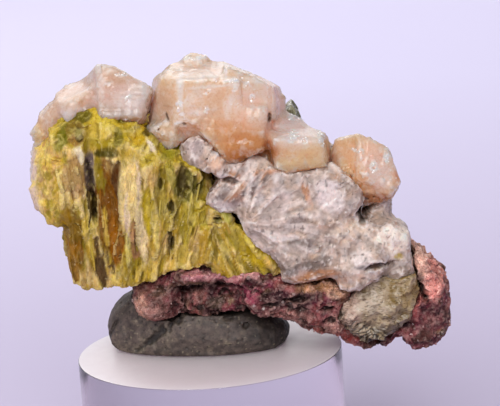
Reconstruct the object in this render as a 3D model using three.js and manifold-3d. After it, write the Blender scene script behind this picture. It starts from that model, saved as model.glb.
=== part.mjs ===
// A calcite specimen: peach calcite crystals on a fan of yellow-green columnar crystals and white
// quartz, all grown on a granular red rock, pressed into a lump of grey mineral putty on a clear
// cylindrical stand. Millimetres, +Z up, +Y away from the viewer, origin at the centre of the
// stand's foot.
import * as THREE from 'three';
import { ConvexGeometry } from 'three/addons/geometries/ConvexGeometry.js';
import { mergeVertices } from 'three/addons/utils/BufferGeometryUtils.js';
import Module from 'manifold-3d';

const STAND_DIAMETER = 38;
const STAND_HEIGHT = 25;
const STAND_EDGE = 0.4;
const STAND_SEGMENTS = 60;

// Clearance between two pieces that touch, and between the putty and the flat top of the stand.
const JOINT_GAP = 0.3;
const SEAT_GAP = 0.1;

// The columns spread upwards from this point, well below the specimen, and the rows are laid out at
// the height of the mid plane.
const FAN_FOOT = new THREE.Vector3(-15.5, 2, -8);
const MID_PLANE = 45;

const wasm = await Module();
wasm.setup();

const finish = {
  calcite: new THREE.MeshStandardMaterial({ color: 0xd9b39a, roughness: 0.22, metalness: 0 }),
  column: new THREE.MeshStandardMaterial({ color: 0xa5842c, roughness: 0.4, metalness: 0 }),
  greenTip: new THREE.MeshStandardMaterial({ color: 0x7d7f55, roughness: 0.3, metalness: 0 }),
  quartz: new THREE.MeshStandardMaterial({ color: 0xcbb9b4, roughness: 0.45, metalness: 0 }),
  olive: new THREE.MeshStandardMaterial({ color: 0x7a6c55, roughness: 0.4, metalness: 0 }),
  redRock: new THREE.MeshStandardMaterial({ color: 0x8f5750, roughness: 0.7, metalness: 0 }),
  putty: new THREE.MeshStandardMaterial({ color: 0x62544c, roughness: 0.75, metalness: 0 }),
  acrylic: new THREE.MeshStandardMaterial({
    color: 0xd8d0e0, roughness: 0.08, metalness: 0, transparent: true, opacity: 0.4,
  }),
};

// A small repeatable random number source, so that each build is the same.
function randomFrom(seed) {
  let state = seed;
  return (low, high) => {
    state = (state * 1664525 + 1013904223) % 4294967296;
    return low + (high - low) * (state / 4294967296);
  };
}

// Joining and cutting.
function solidOf(geometry) {
  const bare = geometry.index ? geometry.toNonIndexed() : geometry.clone();
  for (const name of Object.keys(bare.attributes)) {
    if (name !== 'position') bare.deleteAttribute(name);
  }
  const merged = mergeVertices(bare, 1e-4);
  return new wasm.Manifold(new wasm.Mesh({
    numProp: 3,
    vertProperties: new Float32Array(merged.attributes.position.array),
    triVerts: new Uint32Array(merged.index.array),
  }));
}

function geometryOf(solid) {
  const mesh = solid.getMesh();
  const geometry = new THREE.BufferGeometry();
  geometry.setAttribute('position', new THREE.BufferAttribute(mesh.vertProperties, 3));
  geometry.setIndex(new THREE.BufferAttribute(mesh.triVerts, 1));
  const flat = geometry.toNonIndexed();
  flat.computeVertexNormals();
  return flat;
}

const joined = (solids) => solids.reduce((whole, solid) => whole.add(solid));

function cutBy(solid, cutters) {
  return cutters.reduce((left, cutter) => left.subtract(cutter), solid);
}

// A cut can leave loose crumbs, which would not stay on the real specimen either.
function largestBody(solid) {
  return solid.decompose().reduce((best, body) => (body.volume() > best.volume() ? body : best));
}

// A convex crystal from its flat faces. Each face is [nx, ny, nz, x, y, z]: the way it faces and a
// point on it. A corner is where three faces meet inside all the others.
function crystal(faces, grow = 0) {
  const planes = faces.map(([nx, ny, nz, x, y, z]) => {
    const normal = new THREE.Vector3(nx, ny, nz).normalize();
    return { normal, reach: normal.dot(new THREE.Vector3(x, y, z)) + grow };
  });
  const corners = [];
  for (let i = 0; i < planes.length; i += 1) {
    for (let j = i + 1; j < planes.length; j += 1) {
      for (let k = j + 1; k < planes.length; k += 1) {
        const [a, b, c] = [planes[i], planes[j], planes[k]];
        const bc = b.normal.clone().cross(c.normal);
        const volume = a.normal.dot(bc);
        if (Math.abs(volume) < 1e-3) continue;
        const corner = bc.multiplyScalar(a.reach)
          .addScaledVector(c.normal.clone().cross(a.normal), b.reach)
          .addScaledVector(a.normal.clone().cross(b.normal), c.reach)
          .divideScalar(volume);
        if (planes.every((p) => p.normal.dot(corner) < p.reach + 1e-6)) corners.push(corner);
      }
    }
  }
  return solidOf(new ConvexGeometry(corners));
}

// A tilted block: a crystal with three pairs of faces, about a centre. The half sizes run along the
// block's own right, depth and up directions, and turn is [about X, about Y, about Z] in degrees.
// Corners are knocked off by the share given in corner.
function block({ centre, half, turn = [0, 0, 0], corner = 0.86 }, grow = 0) {
  const euler = new THREE.Euler(...turn.map(THREE.MathUtils.degToRad));
  const spin = new THREE.Quaternion().setFromEuler(euler);
  const middle = new THREE.Vector3(...centre);
  const faces = [];
  const addFace = (x, y, z, share) => {
    const out = new THREE.Vector3(x * half[0], y * half[1], z * half[2]);
    const normal = new THREE.Vector3(x / half[0], y / half[1], z / half[2]).normalize();
    const point = out.multiplyScalar(share).applyQuaternion(spin).add(middle);
    faces.push([...normal.applyQuaternion(spin).toArray(), ...point.toArray()]);
  };
  for (const x of [-1, 1]) {
    addFace(x, 0, 0, 1);
    addFace(0, x, 0, 1);
    addFace(0, 0, x, 1);
    for (const y of [-1, 1]) {
      addFace(x, y, -1, corner);
      addFace(x, y, 1, corner);
    }
  }
  return crystal(faces, grow);
}

// A broken lump of rock. Its outline is in X and Z as seen from the front, it reaches from front to
// back in Y, and its front and back faces are set in by a bevel. lean tips the front face: the
// change in Y for each mm in X and in Z.
function chunk({ outline, front, back, bevel = 1, lean = [0, 0] }, grow = 0) {
  const shape = outline.map(([x, z]) => new THREE.Vector2(x, z));
  const middle = shape.reduce((sum, p) => sum.add(p), new THREE.Vector2()).divideScalar(shape.length);
  const points = [];
  const addRing = (y, inset, tipped) => {
    for (const p of shape) {
      const arm = p.clone().sub(middle);
      const size = arm.length();
      arm.multiplyScalar(Math.max(0.15, (size - inset + grow) / size));
      const tip = tipped ? arm.x * lean[0] + arm.y * lean[1] : 0;
      points.push(new THREE.Vector3(middle.x + arm.x, y + tip, middle.y + arm.y));
    }
  };
  addRing(front - grow, bevel, true);
  addRing(front + bevel, 0, true);
  addRing(back - bevel, 0, false);
  addRing(back + grow, bevel, false);
  return solidOf(new ConvexGeometry(points));
}

// A value read off a list of [place, value] pairs by straight lines between them.
function along(list, place) {
  const after = list.findIndex(([p]) => p > place);
  if (after === 0) return list[0][1];
  if (after < 0) return list[list.length - 1][1];
  const [[p0, v0], [p1, v1]] = [list[after - 1], list[after]];
  return v0 + (v1 - v0) * ((place - p0) / (p1 - p0));
}

// Calcite: blocky crystals with knocked-off corners. The faces follow the real crystals.
const TALL_CALCITE = [
  [0.04, -1, 0.1, 2, -7.9, 63.2],
  [0.03, -0.03, 1, 2, -2, 66.5],
  [-0.8, -0.58, 0.14, -1.9, -7.8, 64.6],
  [-0.95, -0.1, 0.27, -4.7, -1, 64.9],
  [-0.72, -0.5, -0.5, -5.6, -4.2, 58.2],
  [1, -0.05, 0.08, 7.4, -3, 63.2],
  [0.55, 0.1, 0.8, 6.4, -1, 66],
  [-0.6, 0.05, 0.76, -3.2, 0.5, 66.4],
  [0, -0.75, -0.66, 1, -7.6, 59.7],
  [0.1, 1, 0.2, 0, 4.2, 62.2],
  [0, 0, -1, 0, 0, 56.5],
];
const PINK_SHOULDER = [
  [0.12, -1, 0.05, 10, -6.4, 62.2],
  [0.45, 0.12, 0.88, 10, -1, 64.3],
  [1, -0.1, 0.04, 12.3, -2, 62.2],
  [0.2, -0.5, -0.85, 10, -6, 59.7],
  [-1, 0, 0, 5, 0, 62.2],
  [0.2, 1, 0.1, 9, 3.6, 62.2],
  [0, 0, -1, 0, 0, 58.7],
];
const ORANGE_CALCITE = [
  [0.02, -1, 0.1, 6, -8.3, 57.8],
  [-0.78, -0.25, -0.6, 3.1, -7.5, 56.3],
  [0.3, -0.15, -0.95, 6.5, -7.6, 54.7],
  [0.92, -0.35, -0.12, 10.1, -7, 57.3],
  [0, 0, 1, 0, 0, 61.7],
  [-1, 0.1, 0.1, 1.6, -3, 59.3],
  [0, 1, 0, 0, 1, 57.3],
];
const PALE_SHELF = [
  [0.46, -0.26, 0.85, 12.6, -1, 59.6],
  [0.93, 0.1, 0.3, 15.9, 1, 56.8],
  [0, -1, 0.1, 12, -4.6, 57.3],
  [0, 1, 0.1, 12, 0.2, 56.3],
  [-1, 0, 0, 7, 0, 56.3],
  [0, 0, -1, 0, 0, 52.4],
];
const SQUARE_CALCITE = [
  [0.06, -1, -0.04, 14.5, -8.6, 54.4],
  [0.1, -0.04, 1, 14, -5, 57.4],
  [-0.98, -0.2, -0.1, 10.7, -7, 55.4],
  [1, -0.12, 0.04, 18.5, -6, 54.4],
  [0.6, 0.35, 0.72, 17.2, -3, 57.2],
  [0.08, -0.12, -1, 14, -7, 52.3],
  [0.1, 1, 0.1, 14, 0.6, 54.4],
  [-0.5, -0.25, -0.83, 11.8, -7.5, 52.6],
];

function calciteMain(grow) {
  return joined([
    crystal(TALL_CALCITE, grow),
    crystal(PINK_SHOULDER, grow),
    crystal(ORANGE_CALCITE, grow),
    crystal(PALE_SHELF, grow),
    crystal(SQUARE_CALCITE, grow),
    block({ centre: [0.9, 2, 66.4], half: [2.1, 1.9, 1.5], turn: [12, 8, 25], corner: 0.62 }, grow),
    block({ centre: [-3.6, -5.2, 58.7], half: [2.5, 2, 1.9], turn: [10, -28, -30], corner: 0.7 }, grow),
    block({ centre: [5.2, 3.6, 60.8], half: [4.6, 3.4, 3.2], turn: [-14, 10, 12], corner: 0.74 }, grow),
    block({ centre: [-1.4, 4.6, 59.1], half: [3.6, 3, 3], turn: [8, 24, -16], corner: 0.72 }, grow),
    block({ centre: [11.4, 4.4, 54.6], half: [3.1, 2.8, 2.6], turn: [-8, -12, 32], corner: 0.74 }, grow),
  ]);
}

const FACETED_CALCITE = [
  [0.24, -0.9, 0.36, 25.4, -8.1, 51.8],
  [-0.78, -0.58, 0.22, 22.4, -7.4, 53.4],
  [-0.42, -0.72, -0.56, 23, -7, 49.4],
  [0.96, 0.1, 0.27, 28, -4, 50],
  [0.46, 0.2, 0.86, 26, -3, 54.2],
  [-0.2, 0.2, 0.95, 22, -3, 55.8],
  [0.15, -0.25, -0.96, 25, -5, 46.6],
  [0, 1, 0.2, 24, 2.8, 50.5],
  [0.8, -0.2, -0.6, 27.4, -4, 47.4],
  [0.75, 0.1, 0.6, 27.3, -3, 53.2],
  [-0.98, 0.1, 0.1, 19.3, -3, 53.4],
  [0.55, 0.5, 0.66, 26.6, 1, 53.2],
];

function calciteRight(grow) {
  return joined([
    crystal(FACETED_CALCITE, grow),
    block({ centre: [20.9, -3.4, 50.7], half: [1.9, 3, 2.6], turn: [6, 14, 20], corner: 0.76 }, grow),
    block({ centre: [22.6, 3.2, 50.5], half: [3.4, 2.4, 2.9], turn: [-10, -14, -18], corner: 0.74 }, grow),
  ]);
}

const PALE_CALCITE = [
  [0.12, -0.97, 0.22, -9, -7, 63.2],
  [0.52, 0.2, 0.83, -8.6, -2, 66.5],
  [-0.5, 0.2, 0.84, -13.2, -2, 67.6],
  [0.14, 0.2, 1, -12.2, -2, 68.1],
  [-0.92, -0.38, 0.12, -14.3, -3, 65.1],
  [0.93, -0.2, -0.3, -5.7, -3, 62.6],
  [0, -0.7, -0.7, -9, -6.6, 61.1],
  [0.05, 1, 0.15, -10, 4, 63.2],
  [0, 0, -1, 0, 0, 59.7],
];

// The pale crystal, and the crust of smaller ones that curves down the left edge.
function calciteLeft(grow) {
  return joined([
    crystal(PALE_CALCITE, grow),
    block({ centre: [-15.5, -1.8, 62.1], half: [2.9, 4, 2.8], turn: [8, -18, 14], corner: 0.78 }, grow),
    block({ centre: [-18.4, -0.6, 60.3], half: [2.4, 3.4, 2.6], turn: [4, -38, 8], corner: 0.76 }, grow),
    block({ centre: [-20.5, 0.4, 57.4], half: [1.7, 3.2, 2.5], turn: [0, -22, 10], corner: 0.78 }, grow),
    block({ centre: [-21.5, 2, 53.8], half: [1.6, 3.1, 2.6], turn: [4, 6, -6], corner: 0.8 }, grow),
    block({ centre: [-21.4, 2.8, 50.2], half: [1.6, 2.9, 2.3], turn: [0, 14, 8], corner: 0.76 }, grow),
    block({ centre: [-19.8, 3.6, 47.4], half: [2, 2.8, 1.8], turn: [6, 36, 0], corner: 0.72 }, grow),
    block({ centre: [-11.6, 4.4, 61.6], half: [4.2, 3.2, 3.1], turn: [-12, 16, 8], corner: 0.74 }, grow),
    block({ centre: [-16.8, 4.4, 59], half: [3.4, 3.2, 3.1], turn: [-8, -24, 12], corner: 0.74 }, grow),
  ]);
}

// A small grey-green crystal behind the calcite.
const GREEN_TIP = [
  [1, -0.1, 0.3, 15.1, 4, 57.6],
  [0.86, -0.1, 0.5, 14.6, 4, 59],
  [-0.6, -0.05, 0.8, 13.4, 4, 59.3],
  [0.1, -0.96, 0.25, 14, 1.6, 58.3],
  [0.1, 1, 0.2, 14, 5.4, 58.3],
  [-0.9, 0, -0.1, 12.2, 5, 57.3],
  [0.2, 0, -1, 14, 5, 51.8],
];
const greenTip = (grow) => crystal(GREEN_TIP, grow);

// The crown that the column tops end at and the broken foot of the block, as heights by X. The crown
// is met further out than a column's place at the mid plane, by this share of its way from the foot.
const CROWN = [[-25, 53], [-22, 56.4], [-20, 59.4], [-17.6, 61.4], [-15, 62.6], [-11, 62.8], [-8, 60.8],
  [-5, 59], [-2, 56.2], [0.5, 53.6], [2.5, 50.8], [4.5, 47.6], [6, 44]];
const FOOT_LINE = [[-22.6, 50], [-21.2, 48.8], [-19.6, 47.8], [-18.6, 40], [-17.6, 37.4], [-9, 37.6],
  [-3, 38.8], [3, 39.4], [12, 38]];
const CROWN_SPREAD = 0.25;
// How far back each stretch of the front lies: a dark hollow runs down near X = -14.
const FRONT_RELIEF = [[-23, 2.8], [-20.5, 1.4], [-18, 0.2], [-15.2, 1.3], [-13.4, 1.6], [-12.2, 0.1],
  [-10, 0.9], [-8, 0], [-4, 0.5], [-1.5, 1.1], [1, 0.3]];

// One straight column: four or five flat sides with a slanting end, leaning away from its fan's foot.
function column({ x, y, bottom, top, radius, sides, random, foot }, grow = 0) {
  const points = [];
  const tilt = random(-0.5, 0.5);
  const start = random(0, Math.PI);
  const radii = Array.from({ length: sides }, () => radius * random(0.86, 1.14));
  for (const [z, slope] of [[bottom - grow, 0.12], [top + grow, tilt]]) {
    const spread = (z - foot.z) / (MID_PLANE - foot.z);
    const centreX = foot.x + (x - foot.x) * spread;
    const centreY = foot.y + (y - foot.y) * spread;
    radii.forEach((r, i) => {
      const turn = start + (i / sides) * 2 * Math.PI;
      const reach = r * Math.max(0.7, spread) + grow;
      const [dx, dy] = [reach * Math.cos(turn), reach * Math.sin(turn)];
      points.push(new THREE.Vector3(centreX + dx, centreY + dy, z + slope * dx + 0.2 * dy));
    });
  }
  return solidOf(new ConvexGeometry(points));
}

// Rows of columns from front to back: where the row stands, where its first column is, how far apart
// its columns are, how thick they are, how far below the crown they end, how much of the front's relief
// they follow, and how long they are at most. The back rows only stand out of the core at the top.
const COLUMN_ROWS = [
  { y: -7.2, left: -21.2, pitch: 1.65, radius: 1.2, drop: 3.6, bumpy: 1, longest: 30 },
  { y: -5.2, left: -20.2, pitch: 2.4, radius: 1.6, drop: 1.3, bumpy: 0.8, longest: 30 },
  { y: -2, left: -19.6, pitch: 3.3, radius: 2.3, drop: 0.4, bumpy: 0.2, longest: 8 },
  { y: 2.2, left: -18.4, pitch: 3.8, radius: 2.6, drop: 1.2, bumpy: 0, longest: 8 },
];
const FAN_RIGHT = 4.6;
const SHORTEST_COLUMN = 4;
const COLUMN_SEED = 77;

// A second spray, beside the quartz, leans left at its top and is highest at its peak.
const SPRAY = {
  left: 0.3, right: 8.7, pitch: 1.6, y: -6.6, radius: 1.5, bottom: 37.6, peakX: 3.3, peakZ: 48.2,
};
const SPRAY_SLOPE = 1.75;
const SPRAY_FOOT = new THREE.Vector3(30, 0, -30);

// The solid middle of the fan, which the columns stand out of.
const FAN_CORE = {
  outline: [[-18.2, 38.2], [-9, 38.2], [5, 39], [3.4, 48], [-0.8, 55], [-9, 59], [-15, 59.4], [-19.6, 54],
    [-20.4, 48.6]],
  front: -5.2,
  back: 4.2,
  bevel: 1.5,
};

function columnarCrystals(grow) {
  const random = randomFrom(COLUMN_SEED);
  const columns = [];
  COLUMN_ROWS.forEach(({ y, left, pitch, radius, drop, bumpy, longest }) => {
    for (let x = left; x < FAN_RIGHT; x += pitch) {
      const placeX = x + random(-0.2, 0.2);
      const relief = bumpy * along(FRONT_RELIEF, placeX);
      const foot = along(FOOT_LINE, placeX) + random(-0.35, 0.35);
      const topX = placeX + (placeX - FAN_FOOT.x) * CROWN_SPREAD;
      const crown = along(CROWN, topX) - drop + random(-0.8, 0.5);
      const top = Math.max(crown, foot + SHORTEST_COLUMN);
      columns.push(column({
        x: placeX,
        y: y + relief + random(-0.2, 0.2),
        bottom: Math.max(foot, top - longest),
        top,
        radius: radius * random(0.9, 1.1),
        sides: random(0, 1) < 0.5 ? 4 : 5,
        random,
        foot: FAN_FOOT,
      }, grow));
    }
  });
  for (let x = SPRAY.left; x < SPRAY.right; x += SPRAY.pitch) {
    const top = SPRAY.peakZ - SPRAY_SLOPE * Math.abs(x - SPRAY.peakX) + random(-0.5, 0.3);
    columns.push(column({
      x,
      y: SPRAY.y,
      bottom: SPRAY.bottom,
      top,
      radius: SPRAY.radius,
      sides: 5,
      random,
      foot: SPRAY_FOOT,
    }, grow));
  }
  return joined([chunk(FAN_CORE, grow), ...columns]);
}

// The room that the columns take, which the rock behind them has grown round.
const COLUMN_BED = {
  outline: [[-22, 44], [-18, 38.8], [12, 38.8], [8, 44], [3.4, 52], [-3, 58.4], [-9, 63], [-16, 64],
    [-23, 56]],
  front: -12,
  back: 5.4,
  bevel: 1,
};

// Quartz: white, translucent, broken in flat flakes and ledges.
const QUARTZ_CHUNKS = [
  {
    outline: [[6.4, 42.7], [8.4, 41.7], [10, 39.3], [10.9, 36.8], [14, 36.3], [19, 37.3], [22, 40.1],
      [21.6, 45], [14, 48.3], [8, 47.1]],
    front: -9.9, back: 4, bevel: 1.6, lean: [0.05, 0.12],
  },
  {
    outline: [[5.2, 47.7], [6.2, 44], [12, 43], [20, 44.2], [22.4, 46.6], [19.4, 51.8], [12.6, 52.8],
      [8, 54.2], [5, 52.4]],
    front: -9.3, back: 5, bevel: 1.4, lean: [0.02, 0.14],
  },
  {
    outline: [[1, 49.1], [1.8, 47.1], [3.2, 46.8], [5.6, 47.7], [6, 50.9], [3.2, 51.3]],
    front: -8.9, back: 0, bevel: 0.7, lean: [0, 0.08],
  },
  {
    outline: [[2.8, 52.8], [4.2, 50.3], [7.4, 50.1], [9.6, 54], [7.4, 55.2], [4.6, 54.8]],
    front: -8, back: 1, bevel: 0.9, lean: [0.1, 0.2],
  },
  {
    outline: [[-2.4, 57.1], [-2.2, 55.2], [-1, 53.4], [1.2, 53], [3.2, 54], [3.4, 57.3], [0.6, 58.3]],
    front: -7.6, back: 2, bevel: 0.8, lean: [-0.1, 0.1],
  },
  {
    outline: [[1.2, 55.2], [1.9, 53.2], [3.6, 52.2], [4.7, 54], [4.1, 55.9], [2, 56.1]],
    front: -8.9, back: -1, bevel: 0.6, lean: [0.15, 0],
  },
  {
    outline: [[17, 52.2], [17.4, 47.1], [19.4, 44.8], [22.6, 45.2], [23.6, 48.1], [22, 50.9],
      [19.4, 53]],
    front: -8.4, back: 4, bevel: 1.1, lean: [0.05, 0.1],
  },
  {
    outline: [[22, 47.9], [22.8, 43.4], [26, 42.6], [26.5, 44.2], [27.6, 46], [27.4, 48], [25.6, 48.6]],
    front: -4.4, back: 4, bevel: 0.9, lean: [0.1, 0.1],
  },
  {
    outline: [[24.2, 43.2], [24.6, 39.5], [27, 38.6], [29.2, 38.4], [29.6, 40.6], [29, 42.2],
      [26.8, 43.6]],
    front: -8.1, back: -1, bevel: 0.7, lean: [0.12, 0.05],
  },
  {
    outline: [[17.6, 45.2], [17, 39.7], [18.4, 37.2], [24, 37.4], [25.6, 40.3], [24.8, 43.4],
      [21.6, 45.4]],
    front: -8.9, back: 2, bevel: 1.2, lean: [0.05, 0.15],
  },
  {
    outline: [[18.4, 37.6], [18.6, 35.4], [20.8, 34.6], [24.4, 36.2], [26, 38.6], [25.2, 40.7],
      [21.4, 39.5]],
    front: -10.3, back: -2, bevel: 1, lean: [0.02, -0.1],
  },
  {
    outline: [[24.6, 39.3], [24.4, 36.6], [27, 35.2], [29.8, 36.2], [29.6, 38.6], [27, 39.9]],
    front: -7.6, back: 2, bevel: 0.8,
  },
  {
    outline: [[9, 52.4], [10, 45.6], [20, 42], [25.4, 42.2], [25.8, 48.5], [19, 53], [13, 54.4]],
    front: 1, back: 8.4, bevel: 2, lean: [0, 0.1],
  },
];
const whiteQuartz = (grow) => joined(QUARTZ_CHUNKS.map((lump) => chunk(lump, grow)));

const OLIVE_CHUNKS = [
  {
    outline: [[21.4, 34.6], [22.4, 35.6], [27, 36.2], [29.9, 36.4], [29.8, 32.5], [27, 30.3],
      [22.4, 30.9]],
    front: -8.2, back: 0, bevel: 0.9, lean: [0.06, -0.06],
  },
  {
    outline: [[18.8, 30.9], [21.2, 33.7], [26, 33.3], [29.4, 31.9], [28.8, 30], [26.7, 27.8],
      [23.8, 26.5], [21.6, 27], [19, 29.6]],
    front: -8.5, back: 0, bevel: 1, lean: [0.04, -0.12],
  },
];
const oliveInclusion = (grow) => joined(OLIVE_CHUNKS.map((lump) => chunk(lump, grow)));

// Red rock: the granular bed that everything grew on, with a thin ledge under the columns, a lobe at
// each end, the flank at the right and the rough back.
const ROCK_CHUNKS = [
  {
    outline: [[-10.7, 34.4], [-9.8, 36.6], [-6.4, 37.8], [-3, 37.4], [-3, 32.3], [-5, 30.8],
      [-8.2, 30.9], [-10.2, 32.3]],
    front: -5.6, back: 7, bevel: 1.9,
  },
  {
    outline: [[-5.4, 38.2], [-4.6, 31.7], [-1.6, 30.9], [3, 30.5], [7, 31.3], [7.6, 38.2]],
    front: -3.4, back: 9.6, bevel: 1.3,
  },
  {
    outline: [[-4.8, 37.8], [-3.6, 38.6], [3.4, 38.9], [9.4, 37.8], [11.4, 37], [9.8, 36], [3.6, 36.9],
      [-3, 37]],
    front: -8.1, back: 0, bevel: 0.5,
  },
  {
    outline: [[4.4, 36.7], [5.2, 32], [8, 31], [11.8, 30], [14, 30.6], [14, 36.6], [9, 37.2]],
    front: -7.3, back: 8, bevel: 1.2, lean: [0.04, -0.15],
  },
  {
    outline: [[10.6, 36.4], [10.8, 30.6], [14.4, 29.5], [16.2, 28.7], [18.8, 27.2], [20.6, 29],
      [20.4, 34.3], [16, 36.2]],
    front: -8, back: 9, bevel: 1.2, lean: [0.03, -0.15],
  },
  {
    outline: [[17, 29.8], [19.6, 26.1], [22.2, 24.7], [25.2, 24.9], [27, 26.6], [30.6, 30.5],
      [30.6, 35.8], [26, 37.4], [19, 35.4]],
    front: -6.4, back: 9.4, bevel: 1.3, lean: [0, -0.1],
  },
  {
    outline: [[26.6, 41], [28, 41.4], [29.4, 40.2], [30.8, 38.4], [31.8, 36.8], [33.4, 35.4],
      [34.4, 33.4], [34.8, 31], [34.2, 29.8], [29.4, 29.6], [27.6, 35.6]],
    front: -6.6, back: 3.8, bevel: 1.5, lean: [0.2, 0],
  },
  {
    outline: [[27.4, 30.3], [27.3, 26.4], [28.5, 24.2], [30.3, 23.6], [32, 23.9], [33.6, 25.4],
      [34.7, 28], [34.5, 31.3], [31, 32.5]],
    front: -5.4, back: 6.4, bevel: 1.7, lean: [0.12, -0.1],
  },
  {
    outline: [[-17.6, 41.7], [-16, 38.6], [-8, 36.4], [-2, 35.8], [0, 47.5], [-6, 53.4], [-14, 53.8],
      [-18, 48.5]],
    front: 2.4, back: 10.6, bevel: 2,
  },
  {
    outline: [[-4, 36.2], [4, 34.8], [14, 34.4], [15, 45.6], [9, 50.5], [1, 54], [-5, 51.4]],
    front: 2, back: 12.2, bevel: 2.2,
  },
  {
    outline: [[12, 34.8], [20, 31.9], [29.4, 32.9], [29.6, 37.8], [25.6, 41.4], [18, 44.8], [12, 44]],
    front: 0, back: 10.6, bevel: 2.2,
  },
  {
    outline: [[-13, 49.5], [-6, 47.5], [0, 49.5], [2, 55.4], [-4, 58.7], [-12, 58.3]],
    front: 2, back: 8.6, bevel: 1.8,
  },
];
const redRock = (grow) => joined(ROCK_CHUNKS.map((lump) => chunk(lump, grow)));

// Putty: a rolled lump, flat below. Each station along X has the lowest and highest point of its
// section above the stand, its half depth and its middle in Y.
const PUTTY_STATIONS = [
  [-14.6, 2.4, 4.2, 1.6, 4.6], [-14.1, 1.2, 5.3, 3, 4.8], [-13.2, 0.4, 6.5, 3.8, 5],
  [-12, 0, 7.5, 4.3, 5.1], [-10.2, 0, 8.4, 5.4, 4.8], [-8.2, 0, 8.8, 6.2, 4.5], [-4.3, 0, 8.8, 7.2, 4],
  [0, 0, 8.3, 7.7, 3.6], [4, 0, 7.3, 7.6, 3.5], [7.2, 0, 6, 6.7, 3.3], [9.4, 0, 4.5, 5.6, 3.3],
  [10.9, 0.3, 3.2, 3.6, 3.6], [11.7, 0.9, 2.1, 1.4, 4.2],
];
const PUTTY_SIDES = 18;
// How high up its section the putty is widest, and how round the section is.
const PUTTY_BELLY = 0.3;
const PUTTY_ROUNDNESS = 0.8;

function putty() {
  const floor = STAND_HEIGHT + SEAT_GAP;
  const positions = [];
  const bulge = (value) => Math.sign(value) * Math.abs(value) ** PUTTY_ROUNDNESS;
  const ringPoint = ([x, low, high, depth, middle], i) => {
    const turn = (i / PUTTY_SIDES) * 2 * Math.PI;
    const height = high - low;
    const rise = PUTTY_BELLY * height + (1 - PUTTY_BELLY) * height * bulge(Math.sin(turn));
    return [x, middle - depth * bulge(Math.cos(turn)), floor + low + Math.max(0, rise)];
  };
  const rings = PUTTY_STATIONS.map((station) => (
    Array.from({ length: PUTTY_SIDES }, (_, i) => ringPoint(station, i))));
  const addTriangle = (a, b, c) => positions.push(...a, ...b, ...c);
  for (let s = 0; s + 1 < rings.length; s += 1) {
    for (let i = 0; i < PUTTY_SIDES; i += 1) {
      const j = (i + 1) % PUTTY_SIDES;
      addTriangle(rings[s][i], rings[s + 1][j], rings[s][j]);
      addTriangle(rings[s][i], rings[s + 1][i], rings[s + 1][j]);
    }
  }
  const endPoint = ([x, low, high, , middle], step) => [x + step, middle, floor + 0.5 * (low + high)];
  const lastRing = rings.length - 1;
  const leftEnd = endPoint(PUTTY_STATIONS[0], -0.2);
  const rightEnd = endPoint(PUTTY_STATIONS[lastRing], 0.2);
  for (let i = 0; i < PUTTY_SIDES; i += 1) {
    const j = (i + 1) % PUTTY_SIDES;
    addTriangle(leftEnd, rings[0][i], rings[0][j]);
    addTriangle(rightEnd, rings[lastRing][j], rings[lastRing][i]);
  }
  const geometry = new THREE.BufferGeometry();
  geometry.setAttribute('position', new THREE.Float32BufferAttribute(positions, 3));
  return solidOf(geometry);
}

function stand() {
  const radius = STAND_DIAMETER / 2;
  const profile = [
    [0, 0], [radius - STAND_EDGE, 0], [radius, STAND_EDGE], [radius, STAND_HEIGHT - STAND_EDGE],
    [radius - STAND_EDGE, STAND_HEIGHT], [0, STAND_HEIGHT],
  ].map(([r, z]) => new THREE.Vector2(r, z));
  const geometry = new THREE.LatheGeometry(profile, STAND_SEGMENTS);
  geometry.rotateX(Math.PI / 2);
  return solidOf(geometry);
}

// Each piece gives way to the ones named before it, less the joint gap.
const main = calciteMain(0);
const right = largestBody(cutBy(calciteRight(0), [calciteMain(JOINT_GAP)]));
const left = largestBody(cutBy(calciteLeft(0), [calciteMain(JOINT_GAP)]));
const calciteTools = [calciteMain(JOINT_GAP), calciteRight(JOINT_GAP), calciteLeft(JOINT_GAP)];
const columns = largestBody(cutBy(columnarCrystals(0), calciteTools));
const columnTool = columnarCrystals(JOINT_GAP);
const quartz = largestBody(cutBy(whiteQuartz(0), [...calciteTools, columnTool]));
const quartzTool = whiteQuartz(JOINT_GAP);
const olive = largestBody(cutBy(oliveInclusion(0), [quartzTool]));
const oliveTool = oliveInclusion(JOINT_GAP);
const tipTool = greenTip(JOINT_GAP);
const tip = largestBody(cutBy(greenTip(0), [...calciteTools, quartzTool]));
const bedTool = chunk(COLUMN_BED, JOINT_GAP);
const rockTools = [...calciteTools, bedTool, columnTool, quartzTool, oliveTool, tipTool];
const rock = largestBody(cutBy(redRock(0), rockTools));
const rockTool = redRock(JOINT_GAP);
const lump = largestBody(cutBy(putty(), [rockTool]));

const specimen = new THREE.Group();
const addPiece = (name, solid, material) => {
  const mesh = new THREE.Mesh(geometryOf(solid), material);
  mesh.name = name;
  specimen.add(mesh);
};
addPiece('calcite_main_group', main, finish.calcite);
addPiece('calcite_right_crystal', right, finish.calcite);
addPiece('calcite_left_group', left, finish.calcite);
addPiece('columnar_crystals', columns, finish.column);
addPiece('green_crystal_tip', tip, finish.greenTip);
addPiece('white_quartz', quartz, finish.quartz);
addPiece('olive_inclusion', olive, finish.olive);
addPiece('red_rock', rock, finish.redRock);
addPiece('putty', lump, finish.putty);
addPiece('acrylic_stand', stand(), finish.acrylic);

export default specimen;
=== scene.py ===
"""The looks of a calcite specimen on its clear stand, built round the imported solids.

The numbers below are millimetres and become metres when a mesh is written. +X is to the right as
the specimen is seen from the front, +Y is away from the viewer and +Z is up.
"""

import itertools
import logging
import math
from dataclasses import dataclass, field
from enum import Enum
from typing import ClassVar

import bpy
import numpy as np
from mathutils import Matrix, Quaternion, Vector


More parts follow.
